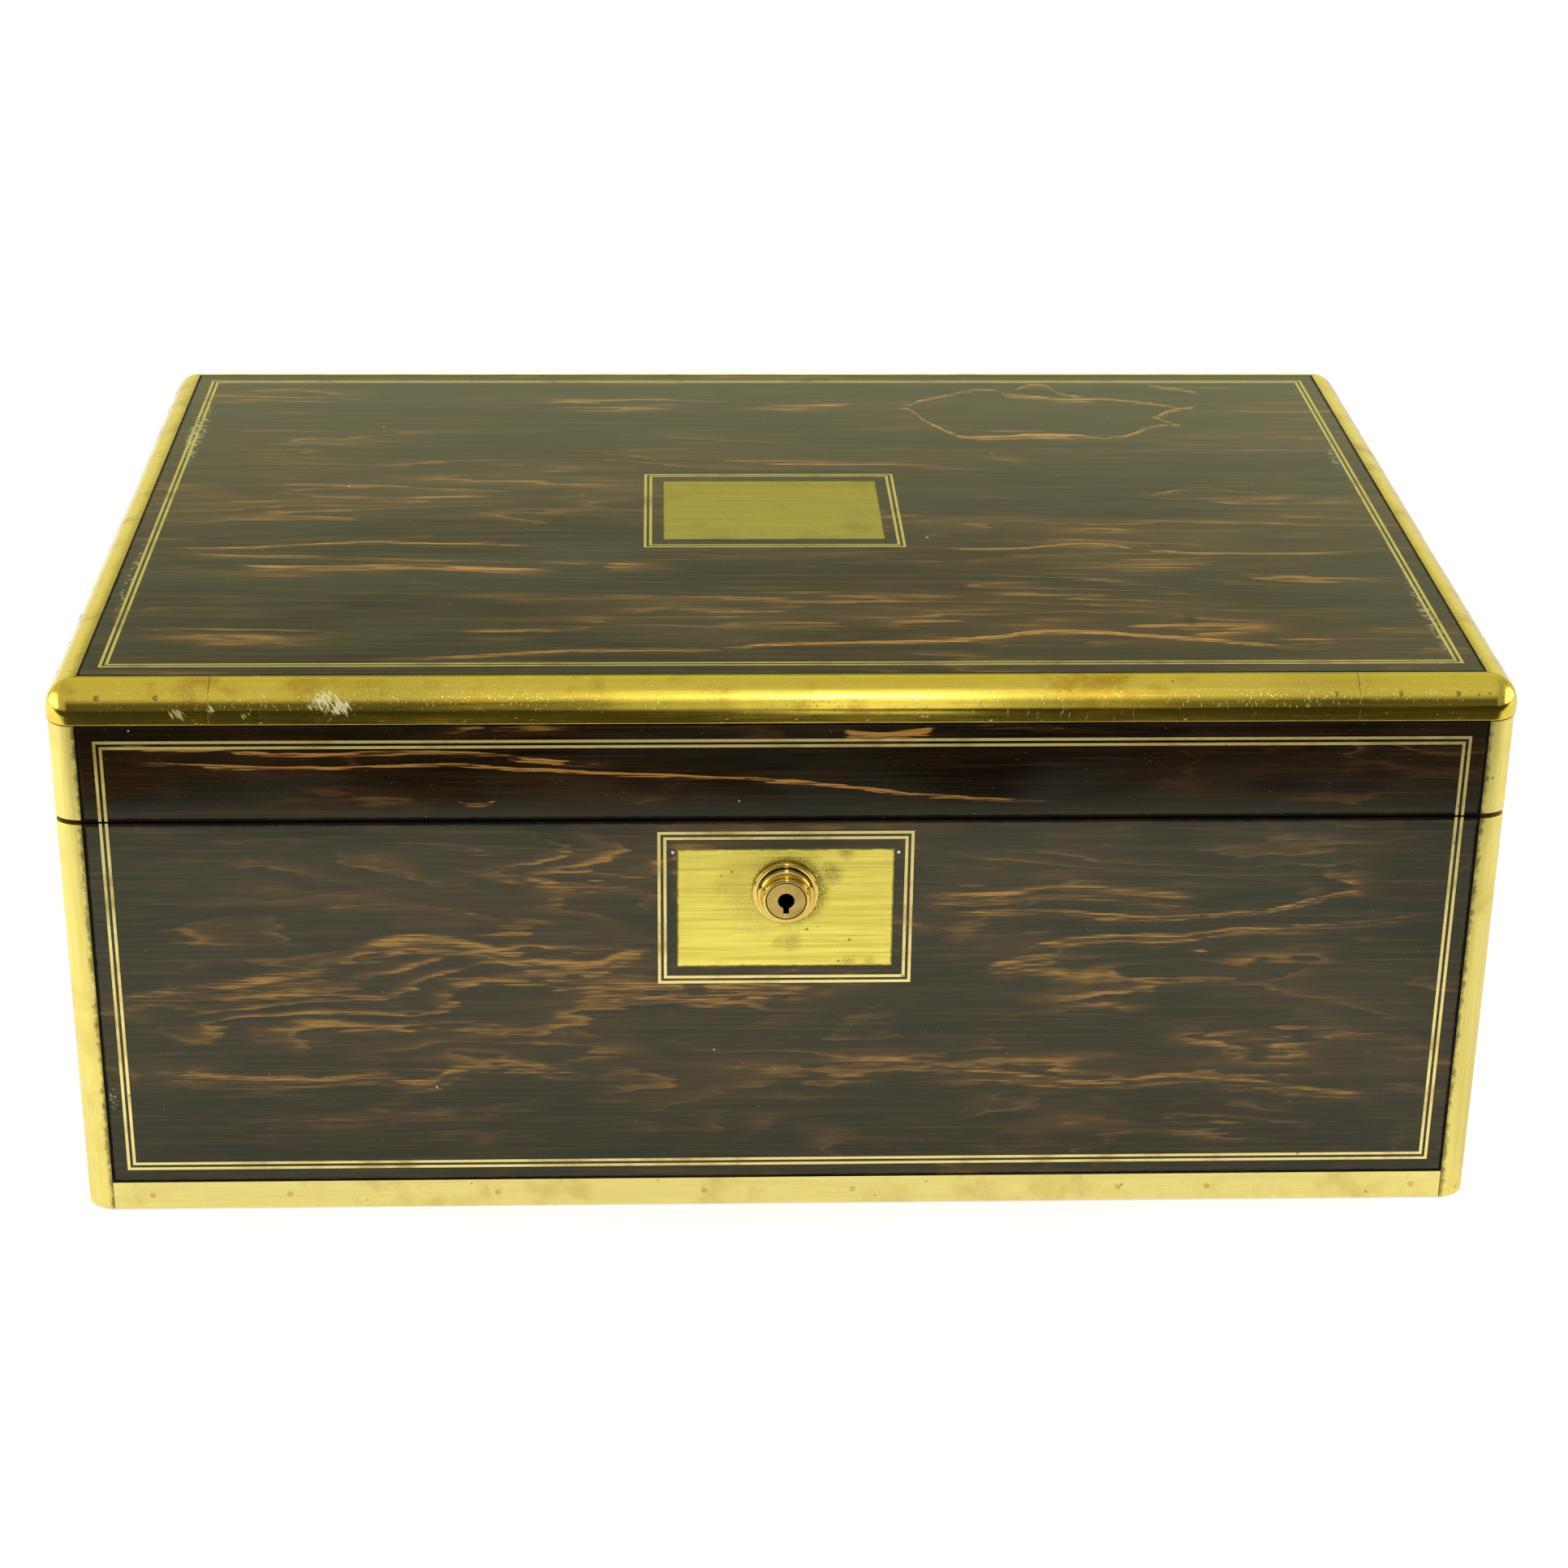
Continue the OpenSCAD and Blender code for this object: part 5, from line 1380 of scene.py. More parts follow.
BASE_STREAKS = (
    Streak((-194, 66, -175, 71, -155, 74, -140, 77, -122, 79), 3.6, 0.75),
    Streak((-128, 79, -112, 86, -100, 87, -88, 85, -75, 81, -60, 78, -52, 79, -45, 82, -28, 82), 3.6, 1.0),
    Streak((-104, 75, -85, 74, -70, 75.5, -58, 76.5, -40, 75, -26, 76), 1.3, 0.6),
    Streak((-192, 46, -175, 44.5, -150, 42.5, -135, 43, -118, 44, -105, 42, -95, 45, -80, 46.5, -65, 45,
        -48, 40), 2.6, 0.85),
    Streak((-166, 67, -150, 70.5, -138, 71, -122, 70, -104, 68), 1.6, 0.7),
    Streak((-156, 58, -135, 56, -122, 58.5, -108, 60), 1.8, 0.65),
    Streak((-66, 70, -48, 71.5, -35, 71.5, -20, 71, -5, 71, 14, 68), 2.8, 1.0),
    Streak((-56, 66, -35, 68.5, -20, 67, 2, 67), 2.2, 0.85),
    Streak((-100, 58, -85, 57.5, -70, 60, -60, 58, -48, 53), 1.4, 0.55),
    Streak((-116, 118, -95, 117.5, -70, 116.5, -36, 113), 1.4, 0.45),
    Streak((-96, 110, -80, 108, -65, 105, -50, 103.5, -32, 103), 1.5, 0.75),
    Streak((-74, 111, -55, 108, -32, 105), 0.9, 0.55),
    Streak((-134, 97, -115, 98.5, -100, 98, -85, 95, -74, 92), 1.4, 0.55),
    Streak((32, 99, 50, 100.5, 65, 101.5, 80, 102, 95, 100.5, 125, 98), 3.2, 0.75),
    Streak((33, 98, 45, 95.5, 60, 95, 75, 94.5, 90, 94, 110, 93.5, 130, 94.5, 145, 97.5, 160, 101.5,
        178, 104.5), 1.2, 0.95),
    Streak((58, 76, 66, 82, 80, 86.5, 95, 87.5, 110, 87, 130, 88.5, 150, 90, 170, 92, 192, 94), 1.4, 0.95),
    Streak((56, 76, 66, 79.5, 80, 82), 2.6, 0.9),
    Streak((56, 75, 70, 76, 85, 74, 104, 73), 1.3, 0.75),
    Streak((-6, 42, 10, 47, 25, 48, 40, 46.5, 55, 44, 75, 41, 95, 39.5, 115, 42, 130, 41, 150, 37, 170, 35,
        192, 35), 2.4, 0.8),
    Streak((-170, 24, -150, 28, -130, 28, -110, 30, -85, 33, -56, 36), 2.2, 0.5),
    Streak((118, 53, 132, 55, 150, 53), 2.0, 0.6),
    Streak((148, 56, 165, 54.5, 188, 52), 1.8, 0.6),
)
BASE_GATHERS = gathered(
    (-175, 92, 28, 8, 1.0), (-135, 64, 50, 14, 1.3), (-80, 68, 40, 12, 1.1), (-90, 82, 50, 9, 1.2),
    (-25, 68, 38, 9, 1.3), (135, 84, 42, 7, 1.6), (90, 70, 34, 12, 1.2), (160, 103, 26, 8, 1.0),
    (140, 54, 34, 6, 1.1), (-60, 110, 60, 10, 0.8, -0.05), (60, 44, 60, 6, 0.8), (110, 24, 60, 8, 0.4),
    (0, 24, 60, 8, 0.4))
BASE_WORN = gathered(
    (-192.3, 37, 1.6, 4, 0.9))
# The two base marks hug the lock plate: a dark stripe along its left side and a dark band along its top.
BASE_DARK_MARKS = gathered(
    (-33.2, 99, 2.8, 28, 0.9), (0, 118, 36, 2.6, 0.7))
LID_STREAKS = (
    Streak((-192, 144, -170, 142, -150, 141, -125, 141, -110, 142.3, -95, 142.5, -80, 141, -50, 138.5,
        0, 136, 50, 132.5, 95, 128), 0.6, 1.8),
    Streak((-192, 148, -160, 146, -130, 144.5, -110, 146, -92, 146, -70, 143, -40, 140.5), 0.8, 1.3),
    Streak((-92, 131.5, -88, 130, -84, 130, -79, 132), 0.7, 0.8),
    Streak((14, 152, 22, 150, 32, 150, 42, 152.5), 1.8, 1.8),
    Streak((50, 152, 60, 153, 80, 151), 1.3, 0.9),
    Streak((-95, 150, -80, 152.5, -55, 152), 1.0, 0.6),
    Streak((95, 147, 130, 146, 192, 145), 0.8, 0.4),
)
LID_GATHERS = gathered(
    (30, 151, 26, 3.5, 1.8), (75, 152, 26, 3, 1.4), (-80, 152, 30, 3, 1.2), (140, 146, 50, 4, 0.8))
BACK_GATHERS = gathered(
    (-90, 70, 80, 14, 1.3, 0.05), (80, 50, 90, 12, 1.2, -0.06), (120, 110, 60, 12, 1.0, 0.02),
    (-40, 125, 80, 8, 0.9), (-140, 30, 50, 10, 1.0))
SIDE_GATHERS = gathered(
    (-60, 60, 70, 14, 1.3, 0.08), (60, 38, 60, 10, 1.1, -0.05), (-70, 130, 60, 8, 1.0),
    (50, 100, 60, 10, 0.9, 0.05))

TOP_VENEER = VeneerFinish(
    "coromandel_top", Grain.LEVEL, 0.3, TOP_STREAKS, TOP_GATHERS,
    knots=(Knot((95, 94), (46, 22), 0.11, 0.0), Knot((177, 26), (11, 5), 0.3, 0.6)),
    worn=TOP_WORN, stains=TOP_STAINS, edge=((0, 0), (194.5, 134.5)), plain=0.3, draw=0.55)
BASE_VENEER = VeneerFinish(
    "coromandel_base_front", Grain.FRONT, 1.1, BASE_STREAKS, BASE_GATHERS, worn=BASE_WORN,
    stains=BASE_DARK_MARKS, edge=((0, 66.6), (194.65, 57.8)), draw=0.85)
# Painted shade: the lid front's dark and brown are darker than the other faces', a shaded copy of the same
# veneer.
LID_VENEER = VeneerFinish(
    "coromandel_lid_front", Grain.FRONT, 2.3, LID_STREAKS, LID_GATHERS,
    edge=((0, 139.5), (194.65, 14.6)), plain=-0.3, draw=0.7, dark=tone(11, 8, 4), brown=tone(66, 38, 14))
BACK_VENEER = VeneerFinish("coromandel_back", Grain.FRONT, 3.7, gathers=BACK_GATHERS)
SIDE_VENEER = VeneerFinish("coromandel_side", Grain.SIDE, 5.2, gathers=SIDE_GATHERS)


# ---------------------------------------------------------------- sub-assemblies


@dataclass
class Rim:
    """Quarter-round brass rim of the lid: four straight strips and four ball corners."""

    radius: float = 8.4  # radius of the round
    corner: float = 8.0  # distance of the round's centre inside the box's faces
    drop: float = 10.9  # height of the rim on a face
    ledge: float = 0.5  # flat of the rim past the round's centre
    wall: float = 4.0  # thickness of the rim
    leg_x: float = 45.0  # reach of a corner piece along the width
    leg_y: float = 52.0  # reach of a corner piece along the depth
    steps: int = 20  # points of the quarter round
    sway: float = 0.05  # height of the slow waves in a strip
    lip: float = 0.12  # radius of the round at the rim's lower edge
    joint: float = 0.12  # open joint at each end of a strip
    lean: float = 36.0  # height of the nails round the rim's curve, in degrees
    # places of the nails along the front, mirrored at the back
    nails_x: tuple[float, ...] = (-188, -172, 151, 169, 185)
    nails_y: tuple[float, ...] = (-124, -103, -82, 84, 104, 125)  # places of the nails along both sides

    @property
    def arc(self) -> np.ndarray:
        """Angles of the quarter round, from its top to its front."""
        return np.linspace(math.pi / 2, 0, self.steps)

    def profile(self) -> tuple[np.ndarray, np.ndarray]:
        """Outline of the rim: distance out from the round's centre, and height."""
        inner = self.radius - self.wall
        lip = np.linspace(0, math.pi / 2, 5)
        foot = TOP - self.drop
        out = np.concatenate([[-self.ledge], self.radius * np.cos(self.arc), [self.radius],
                              self.radius - self.lip * (1 - np.cos(lip)), [inner, inner, -self.ledge]])
        up = np.concatenate([[TOP], TOP - self.radius * (1 - np.sin(self.arc)), [foot + self.lip + 0.1],
                             foot + self.lip * (1 - np.sin(lip)), [foot, TOP - self.wall, TOP - self.wall]])
        return out, up

    def strip(self, half: float, reach: float) -> Shape:
        """A straight strip along X on the -Y side.

        The profile is carried along X. The round's radius sways by two slow waves, which fade
        out at the strip's ends.

        Args:
            half: half the strip's length.
            reach: half the box's size across the strip.

        Returns:
            The closed strip.
        """
        out, up = self.profile()
        x = np.linspace(-half, half, 60)
        wave = self.sway * (np.sin(x / 21) + 0.6 * np.sin(x / 8.3 + 1.3)) * (1 - (x / half) ** 8)
        bulge = np.zeros((len(x), len(out)))
        rise = np.zeros_like(bulge)
        bulge[:, 1:1 + self.steps] = wave[:, None] * np.cos(self.arc)
        rise[:, 1:1 + self.steps] = wave[:, None] * np.sin(self.arc) * np.cos(self.arc)
        y = -(reach - self.corner + out[None, :] + bulge)
        return loft(np.stack([np.repeat(x[:, None], len(out), 1), y, up[None, :] + rise], 2))

    def ball_corner(self) -> Shape:
        """The corner piece at +X, -Y: two legs joined by a ball.

        Outer points turn round the corner's centre. Points of the seat keep a square corner.
        """
        out, up = self.profile()
        square = (out < 0) | (np.arange(len(out)) > self.steps + 6)
        leg, ball = 6, 19  # rings of a leg and of the ball
        angle = np.pad(np.linspace(-math.pi / 2, 0, ball), leg, "edge")
        slide_x = np.pad(np.linspace(self.corner - self.leg_x, 0, leg), (0, ball + leg))
        slide_y = np.pad(np.linspace(0, self.leg_y - self.corner, leg), (ball + leg, 0))
        square_x = np.repeat([0, 1], [leg, ball + leg])
        square_y = np.repeat([-1, 0], [ball + leg, leg])
        x = np.where(square, square_x[:, None], np.cos(angle)[:, None]) * out + slide_x[:, None]
        y = np.where(square, square_y[:, None], np.sin(angle)[:, None]) * out + slide_y[:, None]
        z = np.repeat(up[None, :], len(angle), 0)
        return loft(np.stack([x + HALF_W - self.corner, y - HALF_D + self.corner, z], 2))

    def nails(self) -> Shape:
        """Nail heads along the round, on all four sides."""
        lean = math.radians(self.lean)
        level = TOP - self.radius * (1 - math.sin(lean))
        out = self.radius * math.cos(lean) - self.corner
        places, axes = [], []
        for side in (-1, 1):
            for x in self.nails_x:
                places.append((side * -x, side * (HALF_D + out), level))
                axes.append(facing((0, side * math.cos(lean), math.sin(lean))))
            for y in self.nails_y:
                places.append((side * (HALF_W + out), y, level))
                axes.append(facing((side * math.cos(lean), 0, math.sin(lean))))
        return spread(pin_head(0.9, 0.05, 0.4), places, axes)

    def build(self) -> None:
        """Makes the strips, the corners and the nails, and dresses them."""
        long, short = HALF_W - self.leg_x - self.joint, HALF_D - self.leg_y - self.joint
        strips = all_round(self.strip(long, HALF_D), self.strip(short, HALF_W))
        put_piece("rim_strip_brass", strips, RIM_BRASS, "lid", ["rim_strips"], bevel=0.06)
        ball = self.ball_corner()
        corners = Shape.joined([ball.turned(np.diag([sx, -sy, 1])) for sx, sy in SIDES])
        put_piece("rim_corner_brass", corners, RIM_BRASS, "lid", ["rim_corners"], bevel=0.06)
        put_piece("rim_nails", self.nails(), PIN_BRASS, "lid")


@dataclass
class CornerPosts:
    """Brass angles on the four upright corners, cut by the seam, and the strips round the foot."""

    radius: float = 8.0  # radius of the rounded corner
    width: float = 8.35  # reach of an angle along each face
    wall: float = 3.8  # thickness of an angle at its edges
    lid_top: float = 154.1  # height at which the rim covers the angles
    foot: float = 8.8  # height of the foot strips
    strip: float = 2.0  # thickness of the foot strips
    gap: float = 0.7  # space that each angle leaves to the seam
    # places of the nails along the front foot strip
    front_nails: tuple[float, ...] = (-183.4, -143.5, -83.1, -22.7, 20.8, 99.1, 125.4, 186.0)
    back_nails: tuple[float, ...] = (-184, -130, -66, 2, 70, 128, 185)  # places along the back foot strip
    side_nails: tuple[float, ...] = (-122, -70, -8, 58, 124)  # places along the side foot strips

    def plan(self) -> np.ndarray:
        """Outline of an angle seen from above, from the corner of the box at the origin."""
        arc = np.linspace(math.pi / 2, 0, 17)
        round_x = self.radius * (np.cos(arc) - 1)
        round_y = self.radius * (np.sin(arc) - 1)
        x = np.concatenate([[-self.width], round_x, [0, -self.wall, -self.wall, -self.width]])
        y = np.concatenate([[0], round_y, [-self.width, -self.width, -self.wall, -self.wall]])
        return np.stack([x, y], 1)

    def columns(self, in_lid: bool) -> Shape:
        """The four angles of the base or of the lid, ending on the sloping seam.

        The plan is carried up in rings, whose heights run from one end to the other at each
        point's own place along Y.
        """
        made = []
        share = np.linspace(0, 1, 9)[:, None]
        for sx, sy in SIDES:
            plan = (self.plan() + (HALF_W, HALF_D)) * (sx, sy)
            seam = SEAM.height(plan[:, 1])
            low = seam + self.gap if in_lid else np.zeros(len(plan))
            high = np.full(len(plan), self.lid_top) if in_lid else seam - self.gap
            z = low + (high - low) * share
            flat = np.repeat(plan[None], len(share), 0)
            made.append(loft(np.concatenate([flat, z[:, :, None]], 2)))
        return Shape.joined(made)

    def foot_strip(self, half: float, reach: float) -> Shape:
        """A foot strip along X on the -Y side: a rectangle carried along X."""
        y = -reach + np.array([0, self.strip, self.strip, 0])
        z = np.array([0, 0, self.foot, self.foot])
        x = np.linspace(-half, half, 24)
        return loft(np.stack([np.repeat(x[:, None], 4, 1), np.tile(y, (24, 1)), np.tile(z, (24, 1))], 2))

    def nails(self) -> Shape:
        """Nail heads in the foot strips."""
        rows = [(x, side * HALF_D, 0, side) for side, nails in ((-1, self.front_nails), (1, self.back_nails))
                for x in nails]
        rows += [(side * HALF_W, y, side, 0) for side in (-1, 1) for y in self.side_nails]
        return spread(pin_head(0.95, 0.06, 0.4), [(x, y, self.foot / 2) for x, y, _, _ in rows],
                      [facing((across, ahead, 0)) for _, _, across, ahead in rows])

    def build(self) -> None:
        """Makes the angles, the foot strips and the nails."""
        put_piece("base_corner_brass", self.columns(False), POST_BRASS, "base",
                  ["base_corner_straps"], bevel=0.2)
        put_piece("lid_corner_brass", self.columns(True), POST_BRASS, "lid",
                  ["lid_corner_straps"], bevel=0.2)
        strips = all_round(self.foot_strip(HALF_W - self.width, HALF_D),
                           self.foot_strip(HALF_D - self.width, HALF_W))
        put_piece("foot_brass_strips", strips, FOOT_BRASS, "base", ["foot_strips"], bevel=0.15)
        put_piece("foot_nails", self.nails(), FOOT_PIN_BRASS, "base")


@dataclass
class Skins:
    """Veneers of all faces, the brass lines let into them and the bare plate."""

    top: VeneerFinish = TOP_VENEER
    base_front: VeneerFinish = BASE_VENEER
    lid_front: VeneerFinish = LID_VENEER
    back: VeneerFinish = BACK_VENEER
    side: VeneerFinish = SIDE_VENEER

    def build(self) -> None:
        """Dresses the veneers, the lines and the plate."""
        dress(["lid_top_veneer"], self.top)
        dress(["base_front_veneer"], self.base_front)
        dress(["lid_front_veneer"], self.lid_front)
        dress(["base_back_veneer", "lid_back_veneer"], self.back)
        dress(["base_side_veneers", "lid_side_veneers"], self.side)
        dress(["base_stringing", "lid_stringing"], LINE_BRASS)
        dress(["name_plate"], NAME_PLATE_BRASS)


@dataclass
class Lock:
    """The lock: plate, turned nozzle, barrel, case, bolt, selvedge and the lid's link plate.

    Radii and heights in millimetres; the nozzle's heights are measured out from the lock face.
    """

    key_z: float = 102.3  # height of the key's axis
    flange: float = 9.3  # radius of the nozzle's flange
    flange_up: float = 1.5  # height of the flange
    # places in the profile of the groove turned into the flange
    groove: tuple[Place, ...] = ((8.55, 1.5), (8.45, 1.32), (8.2, 1.32), (8.1, 1.5))
    step: float = 7.85  # radius of the step on the flange
    step_up: float = 2.32  # height of the step
    lip: float = 6.6  # radius of the nozzle's lip
    lip_t: float = 1.3  # thickness of the lip
    bore: float = 5.65  # radius of the hole for the barrel
    sleeve: float = 7.0  # radius of the nozzle's part inside the wall
    out: float = 6.1  # how far the nozzle stands out
    back: float = 2.6  # how far the sleeve goes in
    edge: float = 0.45  # radius of the rounded edges
    plate_pins: tuple[Place, ...] = ((-31.6, 114.6), (31.6, 114.4))  # places of the pins beside the plate
    screw_x: float = 32.9  # place of the screws on either side
    plate_y: float = -135.7  # place of the link plate's screws along Y
    screw_turns: Place = (0.4, 1.9)  # turn of each screw's slot, in radians

    def nozzle(self) -> Shape:
        """The turned nozzle: a flange with a groove, a step, a cove and a rounded lip.

        The rounds are arcs of the turned profile, which goes once round the key's axis.
        """
        arc = np.linspace(0, math.pi / 2, 7)
        fall_in, fall_up = self.edge * (1 - np.cos(arc)), self.edge * (1 - np.sin(arc))
        flange = zip(self.flange - fall_in, self.flange_up - fall_up)
        cove_r, low = self.step - self.lip - 0.1, self.step_up + 0.08
        cove_h = self.out - self.lip_t - low
        cove = zip(self.step - 0.05 - cove_r * np.sin(arc), low + cove_h * (1 - np.cos(arc)))
        lip = zip(self.lip - fall_in, self.out - fall_up)
        profile = [(self.bore, -self.back), (self.sleeve, -self.back), (self.sleeve, 0), (self.flange, 0),
                   *flange, *self.groove, (self.step, self.flange_up), (self.step, self.step_up), *cove,
                   (self.lip, self.out - self.lip_t), *lip, (self.bore + 0.1, self.out),
                   (self.bore, self.out - 0.1)]
        turned = lathe(profile, 96, ring=True).turned(facing((0, -1, 0)))
        return turned.moved((0, -HALF_D, self.key_z))

    def build(self) -> None:
        """Makes the nozzle, pins and screws, and dresses the lock."""
        put_piece("nozzle_turned", self.nozzle(), NOZZLE_BRASS, "base", ["lock_nozzle"],
                  crease=28.0)
        pins = spread(pin_head(0.45, 0.25, 0.3, 10), [(x, -HALF_D, z) for x, z in self.plate_pins],
                      [facing((0, -1, 0))] * len(self.plate_pins))
        # Their near-white finish is a painted highlight.
        put_piece("lock_plate_pins", pins, GLINT_PIN_BRASS, "base")
        up = (SEAM.axis_y - self.plate_y) / math.cos(SEAM.slope)
        for name, body, sign in (("selvedge_screws", "base", 1), ("link_plate_screws", "lid", -1)):
            heads = spread(screw_head(1.4, 0.4, 0.45),
                           [SEAM.point(x, up, -0.3 * sign) for x in (-self.screw_x, self.screw_x)],
                           [facing(sign * SEAM.axes[2], turn) for turn in self.screw_turns])
            put_piece(name, heads, SCREW_BRASS, body)
        dress(["lock_plate"], LOCK_PLATE_BRASS)
        dress(["lock_barrel"], BARREL_BRASS)
        dress(["lock_selvedge", "link_plate"], FITTING_BRASS)
        dress(["lock_case", "lock_cover", "lock_bolt"], LOCK_IRON)


@dataclass
class Hinges:
    """The lid's hinges and the flaps' hinges, with their slotted screws."""

    lid_x: float = 128.0  # place of the lid's hinges on either side
    lid_up: float = 6.4  # place of their screws, up the slope from the axis
    lid_screws: tuple[float, ...] = (-20.0, -7.0, 7.0, 20.0)  # places of the screws along a hinge
    flap_x: float = 120.0  # place of the flaps' hinges on either side
    flap_axis: float = 24.94  # place of the flaps' axis, up the slope
    flap_drop: float = 2.2  # depth of the flaps' hinges under the seam
    flap_reach: float = 5.1  # distance of the screws from the flaps' axis
    flap_screws: tuple[float, ...] = (-9.5, 0.0, 9.5)  # places of the screws along a hinge

    def heads(self, xs: Sequence[float], up: float, rise: float, radius: float, down: bool) -> Shape:
        """A row of screw heads on the slope, each slot turned its own way."""
        normal = SEAM.axes[2] * (-1 if down else 1)
        places = [SEAM.point(x, up, rise) for x in xs]
        axes = [facing(normal, 0.9 + 1.7 * number) for number in range(len(places))]
        return spread(screw_head(radius, 0.28 * radius, 0.4), places, axes)

    def build(self) -> None:
        """Makes the screws and dresses the hinges."""
        lid_xs = [side * self.lid_x + x for side in (-1, 1) for x in self.lid_screws]
        flap_xs = [side * self.flap_x + x for side in (-1, 1) for x in self.flap_screws]
        up, down = self.flap_axis - self.flap_reach, self.flap_axis + self.flap_reach
        rows = (("base_hinge_screws", "base", lid_xs, self.lid_up, -0.3, 1.6),
                ("lid_hinge_screws", "lid", lid_xs, self.lid_up, 0.3, 1.6),
                ("base_flap_screws", "base", flap_xs, up, -self.flap_drop, 1.2),
                ("lid_flap_screws", "lid", flap_xs, up, self.flap_drop, 1.2),
                ("upper_flap_screws", "upper_flap", flap_xs, down, -self.flap_drop, 1.2),
                ("lower_flap_screws", "lower_flap", flap_xs, down, self.flap_drop, 1.2))
        for name, body, xs, along, rise, radius in rows:
            put_piece(name, self.heads(xs, along, rise, radius, rise > 0), SCREW_BRASS, body)
        dress(["base_hinge_leaves", "lid_hinge_leaves", "hinge_pins", "base_flap_hinges", "lid_flap_hinges",
               "upper_flap_hinges", "lower_flap_hinges", "flap_catch"], FITTING_BRASS)


@dataclass
class WritingFlaps:
    """The two leather-covered flaps that make the writing slope, with the pull tab.

    Places up the slope are measured from the lid's axis.
    """

    half_w: float = 177.4  # half the width of a leather
    near: float = 38.24  # place up the slope of each leather's near end
    upper_far: float = 210.9  # place of the upper leather's far end
    lower_far: float = 246.49  # place of the lower leather's far end
    drop: float = 2.2  # depth of the boards' faces under the seam
    leather_t: float = 0.8  # thickness of a leather
    soft: float = 1.2  # width of the leather's rounded edge
    soft_fall: float = 0.35  # how far the rounded edge falls
    flap_end: float = 223.9  # place of the upper board's far end
    tab_w: float = 14.0  # width of the pull tab
    tab_hold: float = 9.0  # length of the tab on the board
    tab_reach: float = 8.0  # length of the tab past the board
    tab_t: float = 0.7  # thickness of the tab

    def leather(self, far: float) -> tuple[Shape, np.ndarray]:
        """A leather panel, drawn along X and up the slope, its face at height 0.

        The face falls off by a quarter circle near its edges and undulates by 0.05 mm.

        Args:
            far: the panel's far end, up the slope.

        Returns:
            The panel and its chart in metres.
        """
        half = (far - self.near) / 2
        xs, ys = edges_in(self.half_w, self.soft, 50), edges_in(half, self.soft, 34)
        x, y = np.meshgrid(xs, ys)
        inside = np.minimum(self.half_w - abs(x), half - abs(y))
        edge = self.soft_fall * (1 - np.sqrt(1 - (1 - np.minimum(inside / self.soft, 1)) ** 2))
        top = -edge - 0.03 + 0.025 * np.sin(x / 31) * np.cos(y / 23)
        shape = slab(x, y, top, np.full_like(x, -self.leather_t))
        chart = np.stack([x.ravel(), y.ravel()], 1) * MM
        return shape.moved((0, (far + self.near) / 2, 0)), np.concatenate([chart, chart])

    def tab(self) -> tuple[Shape, np.ndarray]:
        """The pull tab and its chart: a strip whose free end is round, with a soft rounded edge."""
        radius = self.tab_w / 2
        start, end = self.flap_end - self.tab_hold, self.flap_end + self.tab_reach
        straight = np.linspace(start, end - radius, 8)
        turned = end - radius + radius * np.sin(np.linspace(0.12, 1, 9) * math.pi / 2)
        up = np.concatenate([straight, turned])
        half = radius * np.sqrt(np.clip(1 - (np.maximum(up - (end - radius), 0) / radius) ** 2, 0, 1))
        across = np.array([-1, -0.93, -0.6, 0, 0.6, 0.93, 1])
        x = half[:, None] * across[None, :]
        y = np.repeat(up[:, None], len(across), 1)
        inside = np.minimum(half[:, None] - abs(x), np.minimum(y - start, end - y))
        top = self.tab_t - 0.2 * np.clip(1 - inside / 0.5, 0, 1)
        chart = np.stack([x.ravel(), (y.ravel() - start)], 1) * MM
        return slab(x, y, top, np.zeros_like(x)), np.concatenate([chart, chart])

    def build(self) -> None:
        """Makes the leathers and the tab, and dresses the boards and rails."""
        for flap, far, sign in (("upper", self.upper_far, 1), ("lower", self.lower_far, -1)):
            name = flap + "_writing_leather"
            shape, chart = self.leather(far)
            size = (2 * self.half_w, far - self.near)
            shape = SEAM.laid(shape.moved((0, 0, -self.drop)).turned(np.diag([1, 1, sign])))
            piece = put_piece(name, shape, LeatherFinish(name + "_gilt", size), flap + "_flap",
                              [flap + "_flap_leather"], chart=chart)
        shape, chart = self.tab()
        shape = SEAM.laid(shape.moved((0, 0, -self.drop)))
        piece = put_piece("pull_tab_leather", shape, LeatherFinish("tab_leather"), "upper_flap",
                          ["upper_flap_tab"], chart=chart)
        dress(["upper_flap_board", "lower_flap_board", "base_flap_rail", "lid_flap_rails"], FLAP_WOOD)
        dress(["base_flap_bearers", "lid_flap_bearers"], MAHOGANY_SIDE)


@dataclass
class PenCompartment:
    """Pen tray, partitions, glass bottles and their caps."""

    def build(self) -> None:
        """Dresses the compartment's pieces."""
        dress(["compartment_floor", "compartment_divider", "pen_tray"], FITTED_WOOD)
        dress(["ink_partitions"], FITTED_SIDE)
        dress(["ink_bottle_left", "ink_bottle_right"], GlassFinish("old_glass"))
        dress(["ink_cap_left", "ink_cap_right"], CAP_BRASS)


